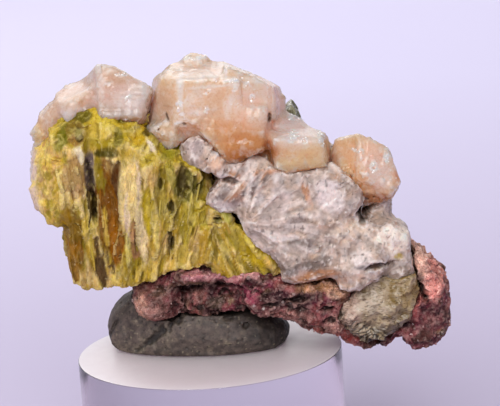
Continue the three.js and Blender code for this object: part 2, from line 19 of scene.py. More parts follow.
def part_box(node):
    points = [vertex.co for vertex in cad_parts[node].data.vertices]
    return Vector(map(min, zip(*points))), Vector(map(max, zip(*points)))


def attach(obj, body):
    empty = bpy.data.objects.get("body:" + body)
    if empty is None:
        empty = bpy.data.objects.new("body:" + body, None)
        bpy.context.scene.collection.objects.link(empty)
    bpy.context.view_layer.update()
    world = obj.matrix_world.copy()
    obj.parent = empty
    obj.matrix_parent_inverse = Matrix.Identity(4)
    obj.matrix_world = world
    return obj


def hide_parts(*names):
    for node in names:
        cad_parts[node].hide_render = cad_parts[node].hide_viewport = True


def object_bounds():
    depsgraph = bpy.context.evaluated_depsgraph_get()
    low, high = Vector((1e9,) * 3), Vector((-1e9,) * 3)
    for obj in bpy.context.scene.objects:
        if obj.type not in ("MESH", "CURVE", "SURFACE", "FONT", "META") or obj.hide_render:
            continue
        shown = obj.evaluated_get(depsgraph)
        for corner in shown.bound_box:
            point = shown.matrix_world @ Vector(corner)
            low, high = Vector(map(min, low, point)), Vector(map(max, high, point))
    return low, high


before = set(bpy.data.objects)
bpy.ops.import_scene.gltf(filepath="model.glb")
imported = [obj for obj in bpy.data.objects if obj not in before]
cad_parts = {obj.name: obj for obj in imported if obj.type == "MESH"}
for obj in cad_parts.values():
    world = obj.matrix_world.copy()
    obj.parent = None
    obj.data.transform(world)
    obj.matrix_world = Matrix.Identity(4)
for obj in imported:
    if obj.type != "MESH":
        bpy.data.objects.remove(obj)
CAD_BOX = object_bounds()

Array = np.ndarray
Piece = bpy.types.Object
Material = bpy.types.Material

MM = 0.001
BODY = "root"
LOWEST = np.array(CAD_BOX[0]) / MM
HIGHEST = np.array(CAD_BOX[1]) / MM
TINT = "Tint"
GLOSS = "Gloss"
log = logging.getLogger("specimen")

# The width of the coarse faces with which narrow grooves are filled.
COARSE = 0.4

# Within this reach of this place, as X and Z, the join between the columns and the quartz is moved to
# the right, by the whole distance in the middle and by nothing at the rim.
JOIN_PLACE = (9.4, 41.0)
JOIN_REACH = 5.0
JOIN_MOVE = 1.5

# The columns spread from this point below the specimen, and are told apart by where they cross the
# mid plane. The small second spray beside the quartz has a foot of its own.
FAN_FOOT = (-15.5, 2.0, -8.0)
SPRAY_FOOT = (30.0, 0.0, -30.0)
MID_PLANE = 45.0


# Colours

def linear(code: str) -> Array:
    """Turns an sRGB hex colour into linear light.

    Args:
        code: The colour as "#rrggbb".
    Returns:
        Red, green and blue from 0 to 1.
    """
    parts = np.array([int(code[i:i + 2], 16) / 255 for i in (1, 3, 5)])
    return np.where(parts <= 0.04045, parts / 12.92, ((parts + 0.055) / 1.055) ** 2.4)


def rgba(code: str) -> tuple[float, float, float, float]:
    """An sRGB hex colour as a socket wants it, linear and opaque."""
    return (*linear(code).tolist(), 1.0)


def blend(first: Array, second: Array, share: Array) -> Array:
    """Mixes two colours, or lists of colours, by a share of the second at each point."""
    part = np.clip(share, 0, 1)[:, None]
    return first * (1 - part) + second * part


def tinted(tint: Array, code: str, share: Array) -> Array:
    """Mixes an sRGB hex colour into a tint by its share at each point."""
    return blend(tint, linear(code), share)


def smooth_step(values: Array, low: float, high: float) -> Array:
    """Rises smoothly from 0 at low to 1 at high, or falls if low is the greater."""
    part = np.clip((values - low) / (high - low), 0, 1)
    return part * part * (3 - 2 * part)


# Noise that is the same on each run

def hashed(cells: Array, seed: int) -> Array:
    """Gives each whole-number cell a random number of its own.

    Args:
        cells: Three whole numbers for each cell.
        seed: Which set of random numbers to use.
    Returns:
        A number from 0 to 1 for each cell.
    """
    mask = np.uint64(0xFFFFFFFF)
    whole = cells.astype(np.int64).astype(np.uint64)
    value = (whole[:, 0] * np.uint64(0x9E3779B1)) ^ (whole[:, 1] * np.uint64(0x85EBCA77))
    value = (value ^ (whole[:, 2] * np.uint64(0xC2B2AE3D)) ^ np.uint64(seed * 0x27D4EB2F)) & mask
    for shift, factor in ((15, 0x2C1B3C6D), (12, 0x297A2D39)):
        value = ((value ^ (value >> np.uint64(shift))) * np.uint64(factor)) & mask
    value = value ^ (value >> np.uint64(15))
    return value.astype(float) / float(0xFFFFFFFF)


def soft_noise(places: Array, cell: float, seed: int) -> Array:
    """Smooth noise that is the same on each run.

    Args:
        places: Where to read it.
        cell: About how wide a bump is.
        seed: Which noise to read.
    Returns:
        A number from -1 to 1 for each place.
    """
    scaled = places / cell
    base = np.floor(scaled)
    part = scaled - base
    part = part * part * (3 - 2 * part)
    total = np.zeros(len(places))
    for corner in itertools.product((0, 1), repeat=3):
        weight = np.prod(np.where(np.array(corner) == 1, part, 1 - part), axis=1)
        total += weight * hashed(base + corner, seed)
    return 2 * total - 1


def rough_noise(places: Array, cell: float, seed: int, octaves: int = 3) -> Array:
    """Noise with finer noise on it, each octave half as wide and a little over half as strong.

    Args:
        places: Where to read it.
        cell: About how wide the broadest bumps are.
        seed: Which noise to read.
        octaves: How many layers of noise there are.
    Returns:
        A number for each place, mostly from -1 to 1.
    """
    total = np.zeros(len(places))
    for octave in range(octaves):
        total += 0.55 ** octave * soft_noise(places, cell / 2 ** octave, seed + octave)
    return total


def nearest_cells(places: Array, seed: int) -> tuple[Array, Array]:
    """Finds the scattered seed point nearest to each place, one seed point for each unit cell.

    Args:
        places: The places, already divided by the size of a cell.
        seed: Which scatter to use.
    Returns:
        How far the nearest seed point is, and its cell.
    """
    base = np.floor(places).astype(np.int64)
    nearest = np.full(len(places), np.inf)
    cell = base.copy()
    for step in itertools.product((-1, 0, 1), repeat=3):
        corner = base + step
        spot = np.stack([hashed(corner, seed + axis) for axis in (1, 2, 3)], axis=1)
        distance = np.linalg.norm(places - corner - spot, axis=1)
        closer = distance < nearest
        cell[closer] = corner[closer]
        nearest = np.where(closer, distance, nearest)
    return nearest, cell


def fan_places(points: Array, foot: tuple[float, float, float] = FAN_FOOT) -> Array:
    """Where each point's column crosses the mid plane, with the point's own height.

    Args:
        points: Points on or in a spray of columns.
        foot: The point that the spray's columns spread from.
    Returns:
        X and Y at the mid plane, and Z as it is.
    """
    spread = (points[:, 2] - foot[2]) / (MID_PLANE - foot[2])
    places = points.copy()
    places[:, 0] = foot[0] + (points[:, 0] - foot[0]) / spread
    places[:, 1] = foot[1] + (points[:, 1] - foot[1]) / spread
    return places


# Meshes

def select_only(piece: Piece) -> None:
    """Makes one object the active one and the only one selected.

    Args:
        piece: The object.
    """
    bpy.ops.object.select_all(action="DESELECT")
    piece.select_set(True)
    bpy.context.view_layer.objects.active = piece


def copy_of_node(node: str, name: str) -> Piece:
    """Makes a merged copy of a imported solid, ready to be shaped.

    Args:
        node: The solid's name.
        name: The new piece's name.
    Returns:
        The new object, with no material.
    """
    piece = bpy.data.objects.new(name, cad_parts[node].data.copy())
    bpy.context.scene.collection.objects.link(piece)
    piece.data.materials.clear()
    select_only(piece)
    bpy.ops.object.mode_set(mode="EDIT")
    bpy.ops.mesh.select_all(action="SELECT")
    bpy.ops.mesh.remove_doubles(threshold=0.002 * MM)
    bpy.ops.object.mode_set(mode="OBJECT")
    return piece


def apply_modifier(piece: Piece, kind: str, **settings) -> None:
    """Adds a modifier and applies it.

    Args:
        piece: The piece to change.
        kind: Blender's name for the kind of modifier.
        settings: The modifier's attributes.
    """
    select_only(piece)
    modifier = piece.modifiers.new(kind.title(), kind)
    for name, value in settings.items():
        setattr(modifier, name, value)
    bpy.ops.object.modifier_apply(modifier=modifier.name)


def smooth_by_angle(piece: Piece, degrees: float) -> None:
    """Shades a piece smooth, apart from edges sharper than the angle."""
    select_only(piece)
    bpy.ops.object.shade_smooth_by_angle(angle=math.radians(degrees))


class Surface:
    """The skin of a finely meshed piece while its relief and its colours are made.

    The points are in millimetres. Each method that shapes the skin takes a share, which is how much
    of the effect each point gets.
    """

    def __init__(self, piece: Piece) -> None:
        """Reads the points and the four corners of each face.

        Args:
            piece: A piece whose faces all have four corners.
        """
        self.piece = piece
        mesh = piece.data
        flat = np.empty(len(mesh.vertices) * 3)
        mesh.vertices.foreach_get("co", flat)
        self.points = flat.reshape(-1, 3) / MM
        corners = np.empty(len(mesh.loops), dtype=np.int64)
        mesh.loops.foreach_get("vertex_index", corners)
        self.corners = corners.reshape(-1, 4)

    def normals(self) -> Array:
        """Finds which way the skin faces.

        Returns:
            The outward direction at each point, from the faces that meet there.
        """
        a, b, c, d = (self.points[self.corners[:, i]] for i in range(4))
        faces = np.cross(c - a, d - b)
        total = np.zeros_like(self.points)
        for i, axis in itertools.product(range(4), range(3)):
            total[:, axis] += np.bincount(self.corners[:, i], faces[:, axis], len(self.points))
        return total / np.maximum(np.linalg.norm(total, axis=1), 1e-9)[:, None]

    def push(self, amount: Array | float) -> None:
        """Moves each point outwards by its amount."""
        self.points += self.normals() * np.broadcast_to(amount, len(self.points))[:, None]

    def smoothed(self, rounds: int) -> Array:
        """Finds where the points would be if the skin were smoother.

        Args:
            rounds: How many times each point moves to the mean of its faces' middles.
        Returns:
            The smoothed points.
        """
        points = self.points
        count = np.bincount(self.corners.ravel(), minlength=len(points))
        for _ in range(rounds):
            centres = points[self.corners].mean(axis=1)
            points = np.stack([
                sum(np.bincount(self.corners[:, i], centres[:, axis], len(points)) for i in range(4))
                for axis in range(3)], axis=1) / count[:, None]
        return points

    def ridges(self, rounds: int) -> Array:
        """How far each point stands out from its smoothed surroundings, less than 0 in a crease."""
        return np.sum((self.points - self.smoothed(rounds)) * self.normals(), axis=1)

    def swell(self, cell: float, depth: float, seed: int, share: Array | float = 1.0) -> None:
        """Pushes the skin in and out by smooth noise."""
        self.push(depth * share * soft_noise(self.points, cell, seed))

    def break_up(self, size: float, tilt: float, step: float, seed: int,
                 share: Array | float = 1.0, places: Array | None = None) -> Array:
        """Breaks the skin into flat facets.

        Args:
            size: About how wide a facet is.
            tilt: How far a facet leans away from the skin, as a slope.
            step: How far a facet stands in or out.
            seed: Which facets to make.
            share: How flat the skin becomes at each point, from 0 to 1.
            places: Where to read the pattern, if not at the points.
        Returns:
            A random number from 0 to 1 for each point, the same all over a facet.
        """
        places = self.points / size if places is None else places
        cell = nearest_cells(places, seed)[1]
        owner = np.unique(cell, axis=0, return_inverse=True)[1].ravel()
        count = np.bincount(owner)[:, None]
        normals = self.normals()

        def mean(values: Array) -> Array:
            """The mean of three columns of values over each facet."""
            return np.stack([np.bincount(owner, values[:, i]) for i in range(3)], axis=1) / count

        centres = mean(self.points)
        facing = mean(normals)
        first = np.unique(owner, return_index=True)[1]
        facet_cells = cell[first]
        lean = np.stack([hashed(facet_cells, seed + k) - 0.5 for k in (11, 12, 13)], axis=1)
        facing = facing / np.maximum(np.linalg.norm(facing, axis=1), 1e-6)[:, None] + 2 * tilt * lean
        facing /= np.linalg.norm(facing, axis=1)[:, None]
        stand = step * (2 * hashed(facet_cells, seed + 14) - 1)
        height = np.sum((self.points - centres[owner]) * facing[owner], axis=1)
        move = np.clip(stand[owner] - height, -0.3 * size, 0.3 * size)
        self.points += facing[owner] * (move * share)[:, None]
        return hashed(cell, seed + 15)

    def bore(self, hollows: list["Hollow"], seed: int) -> Array:
        """Sinks hollows into the front of the skin.

        Args:
            hollows: The hollows to sink.
            seed: Which noise roughens their edges.
        Returns:
            How deep in a hollow each point is, from 0 to 1.
        """
        inside = np.zeros(len(self.points))
        facing = smooth_step(-self.normals()[:, 1], -0.1, 0.35)
        for hollow in hollows:
            depth = hollow.depth_at(self.points, seed) * facing
            self.points[:, 1] += hollow.deep * depth
            inside = np.maximum(inside, depth)
        return inside

    def write(self) -> None:
        """Writes the points back to the piece."""
        self.piece.data.vertices.foreach_set("co", (self.points * MM).ravel())
        self.piece.data.update()

    def save(self, degrees: float, floor: float) -> None:
        """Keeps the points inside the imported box, writes them back and shades the piece.

        Args:
            degrees: The angle from which an edge is shaded sharp.
            floor: How low the piece may reach, as Z.
        """
        self.points = np.clip(self.points, [*LOWEST[:2], floor], HIGHEST)
        self.write()
        smooth_by_angle(self.piece, degrees)

    def paint(self, tint: Array, gloss: Array | float = 0.0) -> None:
        """Keeps a linear colour and a share of bright gloss for each point, for the material."""
        write_tint(self.piece.data, tint, gloss)


def move_join(skin: Surface) -> None:
    """Moves the low end of the join between the columns and the quartz to the right.

    Args:
        skin: The skin of one of the two.
    """
    x, z = skin.points[:, 0], skin.points[:, 2]
    radius = np.hypot((x - JOIN_PLACE[0]) / JOIN_REACH, (z - JOIN_PLACE[1]) / JOIN_REACH)
    front = smooth_step(skin.points[:, 1], -1.0, -4.0)
    skin.points[:, 0] = x + JOIN_MOVE * smooth_step(radius, 1.0, 0.2) * front


def fine_skin(piece: Piece, voxel: float, closed: float, smooth: int) -> Surface:
    """Gives a piece an even, fine skin of small square faces.

    Args:
        piece: A piece of closed, perhaps overlapping, solids.
        voxel: The size of a face in millimetres.
        closed: Grooves narrower than twice this are filled.
        smooth: How many times the fine skin is smoothed.
    Returns:
        The skin, ready to be shaped.
    """
    for amount in (closed, -closed):
        if closed > 0:
            apply_modifier(piece, "REMESH", mode="VOXEL", voxel_size=COARSE * MM)
            skin = Surface(piece)
            skin.push(amount)
            skin.write()
    apply_modifier(piece, "REMESH", mode="VOXEL", voxel_size=voxel * MM)
    if smooth > 0:
        apply_modifier(piece, "SMOOTH", factor=0.5, iterations=smooth)
    return Surface(piece)


def write_tint(mesh: bpy.types.Mesh, tint: Array, gloss: Array | float = 0.0) -> None:
    """Writes a mesh's colours and its bright places to attributes.

    Args:
        mesh: The mesh to write to.
        tint: A linear colour for each point.
        gloss: A share of bright gloss for each point.
    """
    colours = np.ones((len(mesh.vertices), 4))
    colours[:, :3] = np.clip(tint, 0, 1)
    layer = mesh.color_attributes.new(name=TINT, type="FLOAT_COLOR", domain="POINT")
    layer.data.foreach_set("color", colours.ravel())
    bright = np.array(np.broadcast_to(np.clip(gloss, 0, 1), len(mesh.vertices)), dtype=np.float32)
    mesh.attributes.new(name=GLOSS, type="FLOAT", domain="POINT").data.foreach_set("value", bright)



@dataclass(frozen=True)
class Hollow:
    """A hole or recess in the front of a piece, as seen from the front."""

    x: float
    z: float
    wide: float
    high: float
    deep: float
    lean: float = 0.0

    def depth_at(self, points: Array, seed: int) -> Array:
        """Finds how deep in the hollow each point is.

        Args:
            points: The points to look at.
            seed: Which noise makes the edge ragged.
        Returns:
            A share from 0 at the edge to 1.
        """
        up = points[:, 2] - self.z
        across = (points[:, 0] - self.x - self.lean * up) / self.wide
        radius = np.hypot(across, up / self.high) + 0.5 * rough_noise(points, 1.3, seed)
        return smooth_step(radius, 1.1, 0.4)


@dataclass(frozen=True)
class Patch:
    """A patch on the front of a piece, as seen from the front, with the colour it gives if any."""

    x: float
    z: float
    wide: float
    high: float
    colour: str = "#ffffff"
    strength: float = 1.0
    lean: float = 0.0

    def share_at(self, points: Array, rough: Array, reach: float = 1.0,
                 edge: tuple[float, float] = (1.2, 0.6)) -> Array:
        """How much of the patch each point has.

        Args:
            points: The points, or their places in the fan.
            rough: Noise that makes the edge ragged.
            reach: The furthest back that the patch goes, as Y.
            edge: Where the patch fades out and where it is full, as shares of its size.
        Returns:
            A share from 0 to 1 for each point.
        """
        up = points[:, 2] - self.z
        across = (points[:, 0] - self.x - self.lean * up) / self.wide
        radius = np.hypot(across, up / self.high) + 0.45 * rough
        front = smooth_step(points[:, 1], reach + 2, reach)
        return self.strength * smooth_step(radius, *edge) * front


def paint_patches(tint: Array, patches: list[Patch], points: Array, rough: Array,
                  reach: float = 1.0, edge: tuple[float, float] = (1.2, 0.6)) -> Array:
    """Lays patches of colour over a tint, one after the other.

    Args:
        tint: A linear colour for each point.
        patches: The patches to lay.
        points: The points, or their places in the fan.
        rough: Noise that makes the edges ragged.
        reach: The furthest back that the patches go, as Y.
        edge: Where a patch fades out and where it is full, as shares of its size.
    Returns:
        The new colours.
    """
    for patch in patches:
        tint = tinted(tint, patch.colour, patch.share_at(points, rough, reach, edge))
    return tint


def palette(colours: list[str], picks: Array) -> Array:
    """Picks one colour of a list for each random number from 0 to 1."""
    choices = np.array([linear(code) for code in colours])
    return choices[np.minimum((picks * len(colours)).astype(int), len(colours) - 1)]


def mottled(places: Array, colours: list[str], cell: float, seed: int,
            crisp: float = 5.0) -> Array:
    """Mixes colours in clouds.

    Args:
        places: Where each point lies in the pattern.
        colours: The colours to mix.
        cell: About how wide a cloud is.
        seed: Which clouds to make.
        crisp: How sharply one colour gives way to the next.
    Returns:
        A linear colour for each point.
    """
    total = np.zeros((len(places), 3))
    weights = np.zeros((len(places), 1))
    for step, code in enumerate(colours):
        weight = np.exp(crisp * rough_noise(places, cell, seed + 10 * step))[:, None]
        total += weight * linear(code)
        weights += weight
    return total / weights


# Seed shapes, modelled once and copied

Cut = tuple[tuple[float, float, float], tuple[float, float, float]]
Shape = tuple[Array, list[list[int]]]

PRISM_CUTS: list[Cut] = [((0.1, 0, 0.46), (0.5, 0.2, 1)), ((-0.2, 0.1, 0.45), (-0.7, -0.4, 1)),
                         ((0, 0, -0.46), (0.3, -0.5, -1)), ((0.42, 0, 0), (1, 0.35, 0.05))]
GRAIN_CUTS: list[Cut] = [((0, 0, 0.32), (0.2, 0.1, 1)), ((0.34, 0, 0), (1, 0.3, 0.2)),
                         ((0, -0.36, 0), (0.1, -1, 0.3))]


def cut_seed(cuts: list[Cut]) -> Shape:
    """Cuts flat faces on the new primitive, reads its shape and removes it.

    Args:
        cuts: For each face, a point on it and which way it faces.
    Returns:
        The seed's points and faces.
    """
    piece = bpy.context.object
    bpy.ops.object.mode_set(mode="EDIT")
    for place, facing in cuts:
        bpy.ops.mesh.select_all(action="SELECT")
        bpy.ops.mesh.bisect(plane_co=place, plane_no=facing, use_fill=True, clear_outer=True)
    bpy.ops.object.mode_set(mode="OBJECT")
    mesh = piece.data
    points = np.array([tuple(v.co) for v in mesh.vertices])
    faces = [list(face.vertices) for face in mesh.polygons]
    bpy.data.objects.remove(piece)
    bpy.data.meshes.remove(mesh)
    return points, faces


def seed_prism() -> Shape:
    """Models one column with slanted, broken ends.

    Returns:
        Its points, one unit high and about one across, and its faces.
    """
    bpy.ops.object.select_all(action="DESELECT")
    bpy.ops.mesh.primitive_cylinder_add(vertices=6, radius=0.5, depth=1.0, location=(0, 0, 0))
    return cut_seed(PRISM_CUTS)


def seed_grain() -> Shape:
    """Models one grain, a small solid with a few flat faces.

    Returns:
        Its points, about one unit across, and its faces.
    """
    bpy.ops.object.select_all(action="DESELECT")
    bpy.ops.mesh.primitive_ico_sphere_add(subdivisions=1, radius=0.55, location=(0, 0, 0))
    return cut_seed(GRAIN_CUTS)


@dataclass
class Copies:
    """Copies of a seed shape, each with its own middle, axes, size and linear colour."""

    name: str
    seed_shape: Shape
    spots: Array
    axes: Array
    sizes: Array
    tint: Array

    def build(self) -> Piece:
        """Joins the copies in one new object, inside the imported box.

        Returns:
            The new object.
        """
        shape, faces = self.seed_shape
        local = shape[None] * self.sizes[:, None, :]
        points = np.einsum("nvi,nij->nvj", local, self.axes) + self.spots[:, None, :]
        points = np.clip(points.reshape(-1, 3), LOWEST, HIGHEST)
        shifts = len(shape) * np.arange(len(self.spots))
        shifted = [[i + shift for i in face] for shift in shifts.tolist() for face in faces]
        mesh = bpy.data.meshes.new(self.name)
        mesh.from_pydata((points * MM).tolist(), [], shifted)
        write_tint(mesh, np.repeat(self.tint, len(shape), axis=0))
        piece = bpy.data.objects.new(self.name, mesh)
        bpy.context.scene.collection.objects.link(piece)
        return piece


def turned_axes(up: Array, spin: Array) -> Array:
    """Axes whose Z points up and whose X is spun round it.

    Args:
        up: For each copy, where its own Z points.
        spin: For each copy, an angle in radians.
    Returns:
        For each copy, three rows: where its own X, Y and Z point.
    """
    up = up / np.linalg.norm(up, axis=1)[:, None]
    side = np.cross(up, np.where(np.abs(up[:, :1]) > 0.8, [[0.0, 1.0, 0.0]], [[1.0, 0.0, 0.0]]))
    side /= np.linalg.norm(side, axis=1)[:, None]
    other = np.cross(up, side)
    cos, sin = np.cos(spin)[:, None], np.sin(spin)[:, None]
    return np.stack([cos * side + sin * other, cos * other - sin * side, up], axis=1)


# Finishes

def add_node(tree: bpy.types.NodeTree, kind: str, settings: dict | None = None,
             inputs: dict | None = None) -> bpy.types.Node:
    """Adds a node with its settings, and links or sets its inputs.

    Args:
        tree: The node tree to add to.
        kind: Blender's name for the kind of node.
        settings: Attributes to set on the node.
        inputs: A value, or an output socket to link, for each input by name or number.
    Returns:
        The new node.
    """
    node = tree.nodes.new(kind)
    for name, value in (settings or {}).items():
        setattr(node, name, value)
    for name, value in (inputs or {}).items():
        if isinstance(value, bpy.types.NodeSocket):
            tree.links.new(value, node.inputs[name])
        else:
            node.inputs[name].default_value = value
    return node


def new_material(name: str) -> tuple[Material, bpy.types.NodeTree]:
    """Makes an empty node material.

    Args:
        name: The material's name.
    Returns:
        The material and its node tree.
    """
    material = bpy.data.materials.new(name)
    material.use_nodes = True
    material.node_tree.nodes.clear()
    return material, material.node_tree


@dataclass(frozen=True)
class StoneFinish:
    """A mineral surface: its painted tint, broken up by fine grain, with gloss and translucency.

    The grains' widths, the bump's depth and the light's reach are millimetres. The stretch is how many
    times longer than wide a grain is along X, Y and Z.
    """

    name: str
    dark: str
    light: str
    dark_share: float
    light_share: float
    grain: float
    stretch: tuple[float, float, float]
    roughness: tuple[float, float]
    ior: float
    bump: float
    bump_grain: float
    subsurface: float = 0.0
    radius: tuple[float, float, float] = (1.0, 0.5, 0.3)
    transmission: float = 0.0
    coat: float = 0.0
    coat_roughness: float = 0.1
    bright_roughness: float = 0.1
    specular: float = 0.5
    absorb: str | None = None
    absorb_density: float = 0.0

    def material(self) -> Material:
        """Builds the node material, whose noises are as wide as real grains.

        Returns:
            The new material.
        """
        material, tree = new_material(self.name)
        tint = add_node(tree, "ShaderNodeAttribute", {"attribute_name": TINT}).outputs["Color"]
        places = add_node(tree, "ShaderNodeTexCoord").outputs["Object"]
        mapped = add_node(tree, "ShaderNodeMapping", inputs={
            "Vector": places, "Scale": tuple(1 / part for part in self.stretch)}).outputs["Vector"]
        grain, coarse, relief = (
            add_node(tree, "ShaderNodeTexNoise", inputs={
                "Vector": mapped, "Scale": 1 / (width * MM), "Detail": detail}).outputs["Fac"]
            for width, detail in ((self.grain, 4.0), (self.grain * 4, 3.0), (self.bump_grain, 3.0)))
        dark = add_node(tree, "ShaderNodeMapRange", inputs={
            "Value": grain, "From Min": 0.5, "From Max": 0.3, "To Min": 0.0, "To Max": self.dark_share})
        light = add_node(tree, "ShaderNodeMapRange", inputs={
            "Value": coarse, "From Min": 0.5, "From Max": 0.68, "To Min": 0.0, "To Max": self.light_share})
        darker = add_node(tree, "ShaderNodeMix", {"data_type": "RGBA", "blend_type": "MULTIPLY"}, {
            "Factor": dark.outputs["Result"], 6: tint, 7: rgba(self.dark)})
        lighter = add_node(tree, "ShaderNodeMix", {"data_type": "RGBA"}, {
            "Factor": light.outputs["Result"], 6: darker.outputs[2], 7: rgba(self.light)})
        gloss = add_node(tree, "ShaderNodeMapRange", inputs={
            "Value": grain, "From Min": 0.35, "From Max": 0.65,
            "To Min": self.roughness[0], "To Max": self.roughness[1]})
        bright = add_node(tree, "ShaderNodeAttribute", {"attribute_name": GLOSS}).outputs["Fac"]
        shine = add_node(tree, "ShaderNodeMix", {"data_type": "FLOAT"}, {
            0: bright, 2: gloss.outputs["Result"], 3: self.bright_roughness})
        bump = add_node(tree, "ShaderNodeBump", inputs={
            "Height": relief, "Strength": 1.0, "Distance": self.bump * MM})
        shader = add_node(tree, "ShaderNodeBsdfPrincipled", {"subsurface_method": "RANDOM_WALK"}, {
            "Base Color": lighter.outputs[2],
            "Roughness": shine.outputs[0],
            "Normal": bump.outputs["Normal"],
            "IOR": self.ior,
            "Specular IOR Level": self.specular,
            "Subsurface Weight": self.subsurface,
            "Subsurface Radius": self.radius,
            "Subsurface Scale": MM,
            "Transmission Weight": self.transmission,
            "Coat Weight": self.coat,
            "Coat Roughness": self.coat_roughness,
        })
        outputs = {"Surface": shader.outputs["BSDF"]}
        if self.absorb is not None:
            volume = add_node(tree, "ShaderNodeVolumeAbsorption", inputs={
                "Color": rgba(self.absorb), "Density": self.absorb_density / MM})
            outputs["Volume"] = volume.outputs["Volume"]
        add_node(tree, "ShaderNodeOutputMaterial", inputs=outputs)
        return material


# Peach calcite: light goes some way in and comes out warm, and clean faces have a soft glassy gloss.
CALCITE = StoneFinish(
    name="peach_calcite", dark="#e0ba98", light="#fbf1e8", dark_share=0.3, light_share=0.3,
    grain=0.3, stretch=(1, 1, 1), roughness=(0.14, 0.25), ior=1.55, bump=0.03, bump_grain=0.25,
    subsurface=0.85, radius=(5.0, 4.0, 3.0), transmission=0.36, specular=0.4,
    absorb="#f2c89c", absorb_density=0.02)

# Frosted nicks: tiny crushed cleavages on worn edges, opaque and nearly white.
NICKS = StoneFinish(
    name="frosted_calcite_nick", dark="#f4e4d8", light="#ffffff", dark_share=0.3, light_share=0.3,
    grain=0.2, stretch=(1, 1, 1), roughness=(0.3, 0.45), ior=1.55, bump=0.01, bump_grain=0.15)

# Yellow-green columnar crystals: silky along their length, darker between the columns, where painted shade
# is laid in their colours.
COLUMNS = StoneFinish(
    name="yellow_green_columnar_crystal", dark="#8f7420", light="#e0d08c", dark_share=0.35,
    light_share=0.06, grain=0.2, stretch=(1, 1, 2), roughness=(0.3, 0.6), ior=1.33, bump=0.05,
    bump_grain=0.16, subsurface=0.3, radius=(0.8, 0.6, 0.1), specular=0.2)

# Quartz: greasy, frosted breaks with milky veins and some light passing just under the skin.
QUARTZ = StoneFinish(
    name="milky_quartz", dark="#a3918b", light="#f3eae8", dark_share=0.3, light_share=0.3,
    grain=0.4, stretch=(1, 1, 1), roughness=(0.35, 0.6), ior=1.5, bump=0.04, bump_grain=0.2,
    subsurface=0.85, radius=(1.4, 1.2, 1.1), transmission=0.15)

# Olive crystal: a glassy dark body in thin layers.
OLIVE = StoneFinish(
    name="olive_layered_crystal", dark="#3b2f22", light="#dccfba", dark_share=0.6, light_share=0.25,
    grain=0.2, stretch=(2.5, 2.5, 1), roughness=(0.2, 0.5), ior=1.5, bump=0.05, bump_grain=0.14,
    subsurface=0.1)

# Red rock: sugary, matte grains, with painted shade darkening the crevices.
ROCK = StoneFinish(
    name="red_granular_rock", dark="#5a302c", light="#e3bdb0", dark_share=0.8, light_share=0.2,
    grain=0.18, stretch=(1, 1, 1), roughness=(0.4, 0.75), ior=1.42, bump=0.08, bump_grain=0.15,
    subsurface=0.08, radius=(0.8, 0.4, 0.3), specular=0.25)

# Small loose grains in the rock: the same sugar, a little glassier.
GRAINS = StoneFinish(
    name="sugary_rock_grain", dark="#6e4540", light="#f0dcd2", dark_share=0.35, light_share=0.2,
    grain=0.2, stretch=(1, 1, 1), roughness=(0.2, 0.5), ior=1.55, bump=0.02, bump_grain=0.15,
    subsurface=0.15, radius=(0.6, 0.3, 0.25), coat=0.3)

# Grey-green crystal: a small glassy point.
GREEN_CRYSTAL = StoneFinish(
    name="grey_green_crystal", dark="#4d4a2c", light="#cfcfae", dark_share=0.5, light_share=0.25,
    grain=0.4, stretch=(1, 1, 2), roughness=(0.18, 0.4), ior=1.65, bump=0.04, bump_grain=0.25,
    subsurface=0.3, radius=(0.8, 0.9, 0.5), transmission=0.15, coat=0.4)

# Mineral putty: oily clay, quite matte, with a faint skin where it was rolled.
PUTTY = StoneFinish(
    name="grey_mineral_putty", dark="#3a302a", light="#8a7b70", dark_share=0.6, light_share=0.15,
    grain=0.22, stretch=(1.4, 1, 1), roughness=(0.5, 0.72), ior=1.5, bump=0.04, bump_grain=0.12)


class AcrylicFace(Enum):
    """The two ways in which the acrylic rod was finished."""

    POLISHED = "polished"
    FROSTED = "frosted"


@dataclass(frozen=True)
class AcrylicFinish:
    """Cast acrylic: clear through its polished side, hazy under its sanded top.

    The grains' widths and the relief's depth are millimetres. Real sanding marks are too fine to show,
    so they are drawn coarser, a quarter of a millimetre wide.
    """

    face: AcrylicFace
    colour: str
    roughness: float
    transmission: float
    subsurface: float
    relief: float
    wear_grain: float = 1.4
    sanding_grain: float = 0.25

    def material(self) -> Material:
        """Builds the node material.

        Returns:
            The new material.
        """
        material, tree = new_material(f"{self.face.value}_cast_acrylic")
        places = add_node(tree, "ShaderNodeTexCoord").outputs["Object"]
        wear, sanding = (
            add_node(tree, "ShaderNodeTexNoise", inputs={
                "Vector": places, "Scale": 1 / (width * MM), "Detail": detail}).outputs["Fac"]
            for width, detail in ((self.wear_grain, 5.0), (self.sanding_grain, 2.0)))
        gloss = add_node(tree, "ShaderNodeMapRange", inputs={
            "Value": wear, "From Min": 0.3, "From Max": 0.7,
            "To Min": self.roughness * 0.8, "To Max": self.roughness * 1.25})
        bump = add_node(tree, "ShaderNodeBump", inputs={
            "Height": sanding, "Strength": 1.0, "Distance": self.relief * MM})
        shader = add_node(tree, "ShaderNodeBsdfPrincipled", inputs={
            "Base Color": rgba(self.colour), "Roughness": gloss.outputs["Result"], "IOR": 1.49,
            "Transmission Weight": self.transmission, "Normal": bump.outputs["Normal"],
            "Subsurface Weight": self.subsurface, "Subsurface Radius": (12.0, 11.0, 12.0),
            "Subsurface Scale": MM})
        add_node(tree, "ShaderNodeOutputMaterial", inputs={"Surface": shader.outputs["BSDF"]})
        return material


POLISHED_SIDE = AcrylicFinish(
    AcrylicFace.POLISHED, "#fbf9ff", roughness=0.015, transmission=1.0, subsurface=0.0, relief=0.002)
FROSTED_TOP = AcrylicFinish(
    AcrylicFace.FROSTED, "#ddd2d5", roughness=0.4, transmission=0.1, subsurface=0.8, relief=0.02)


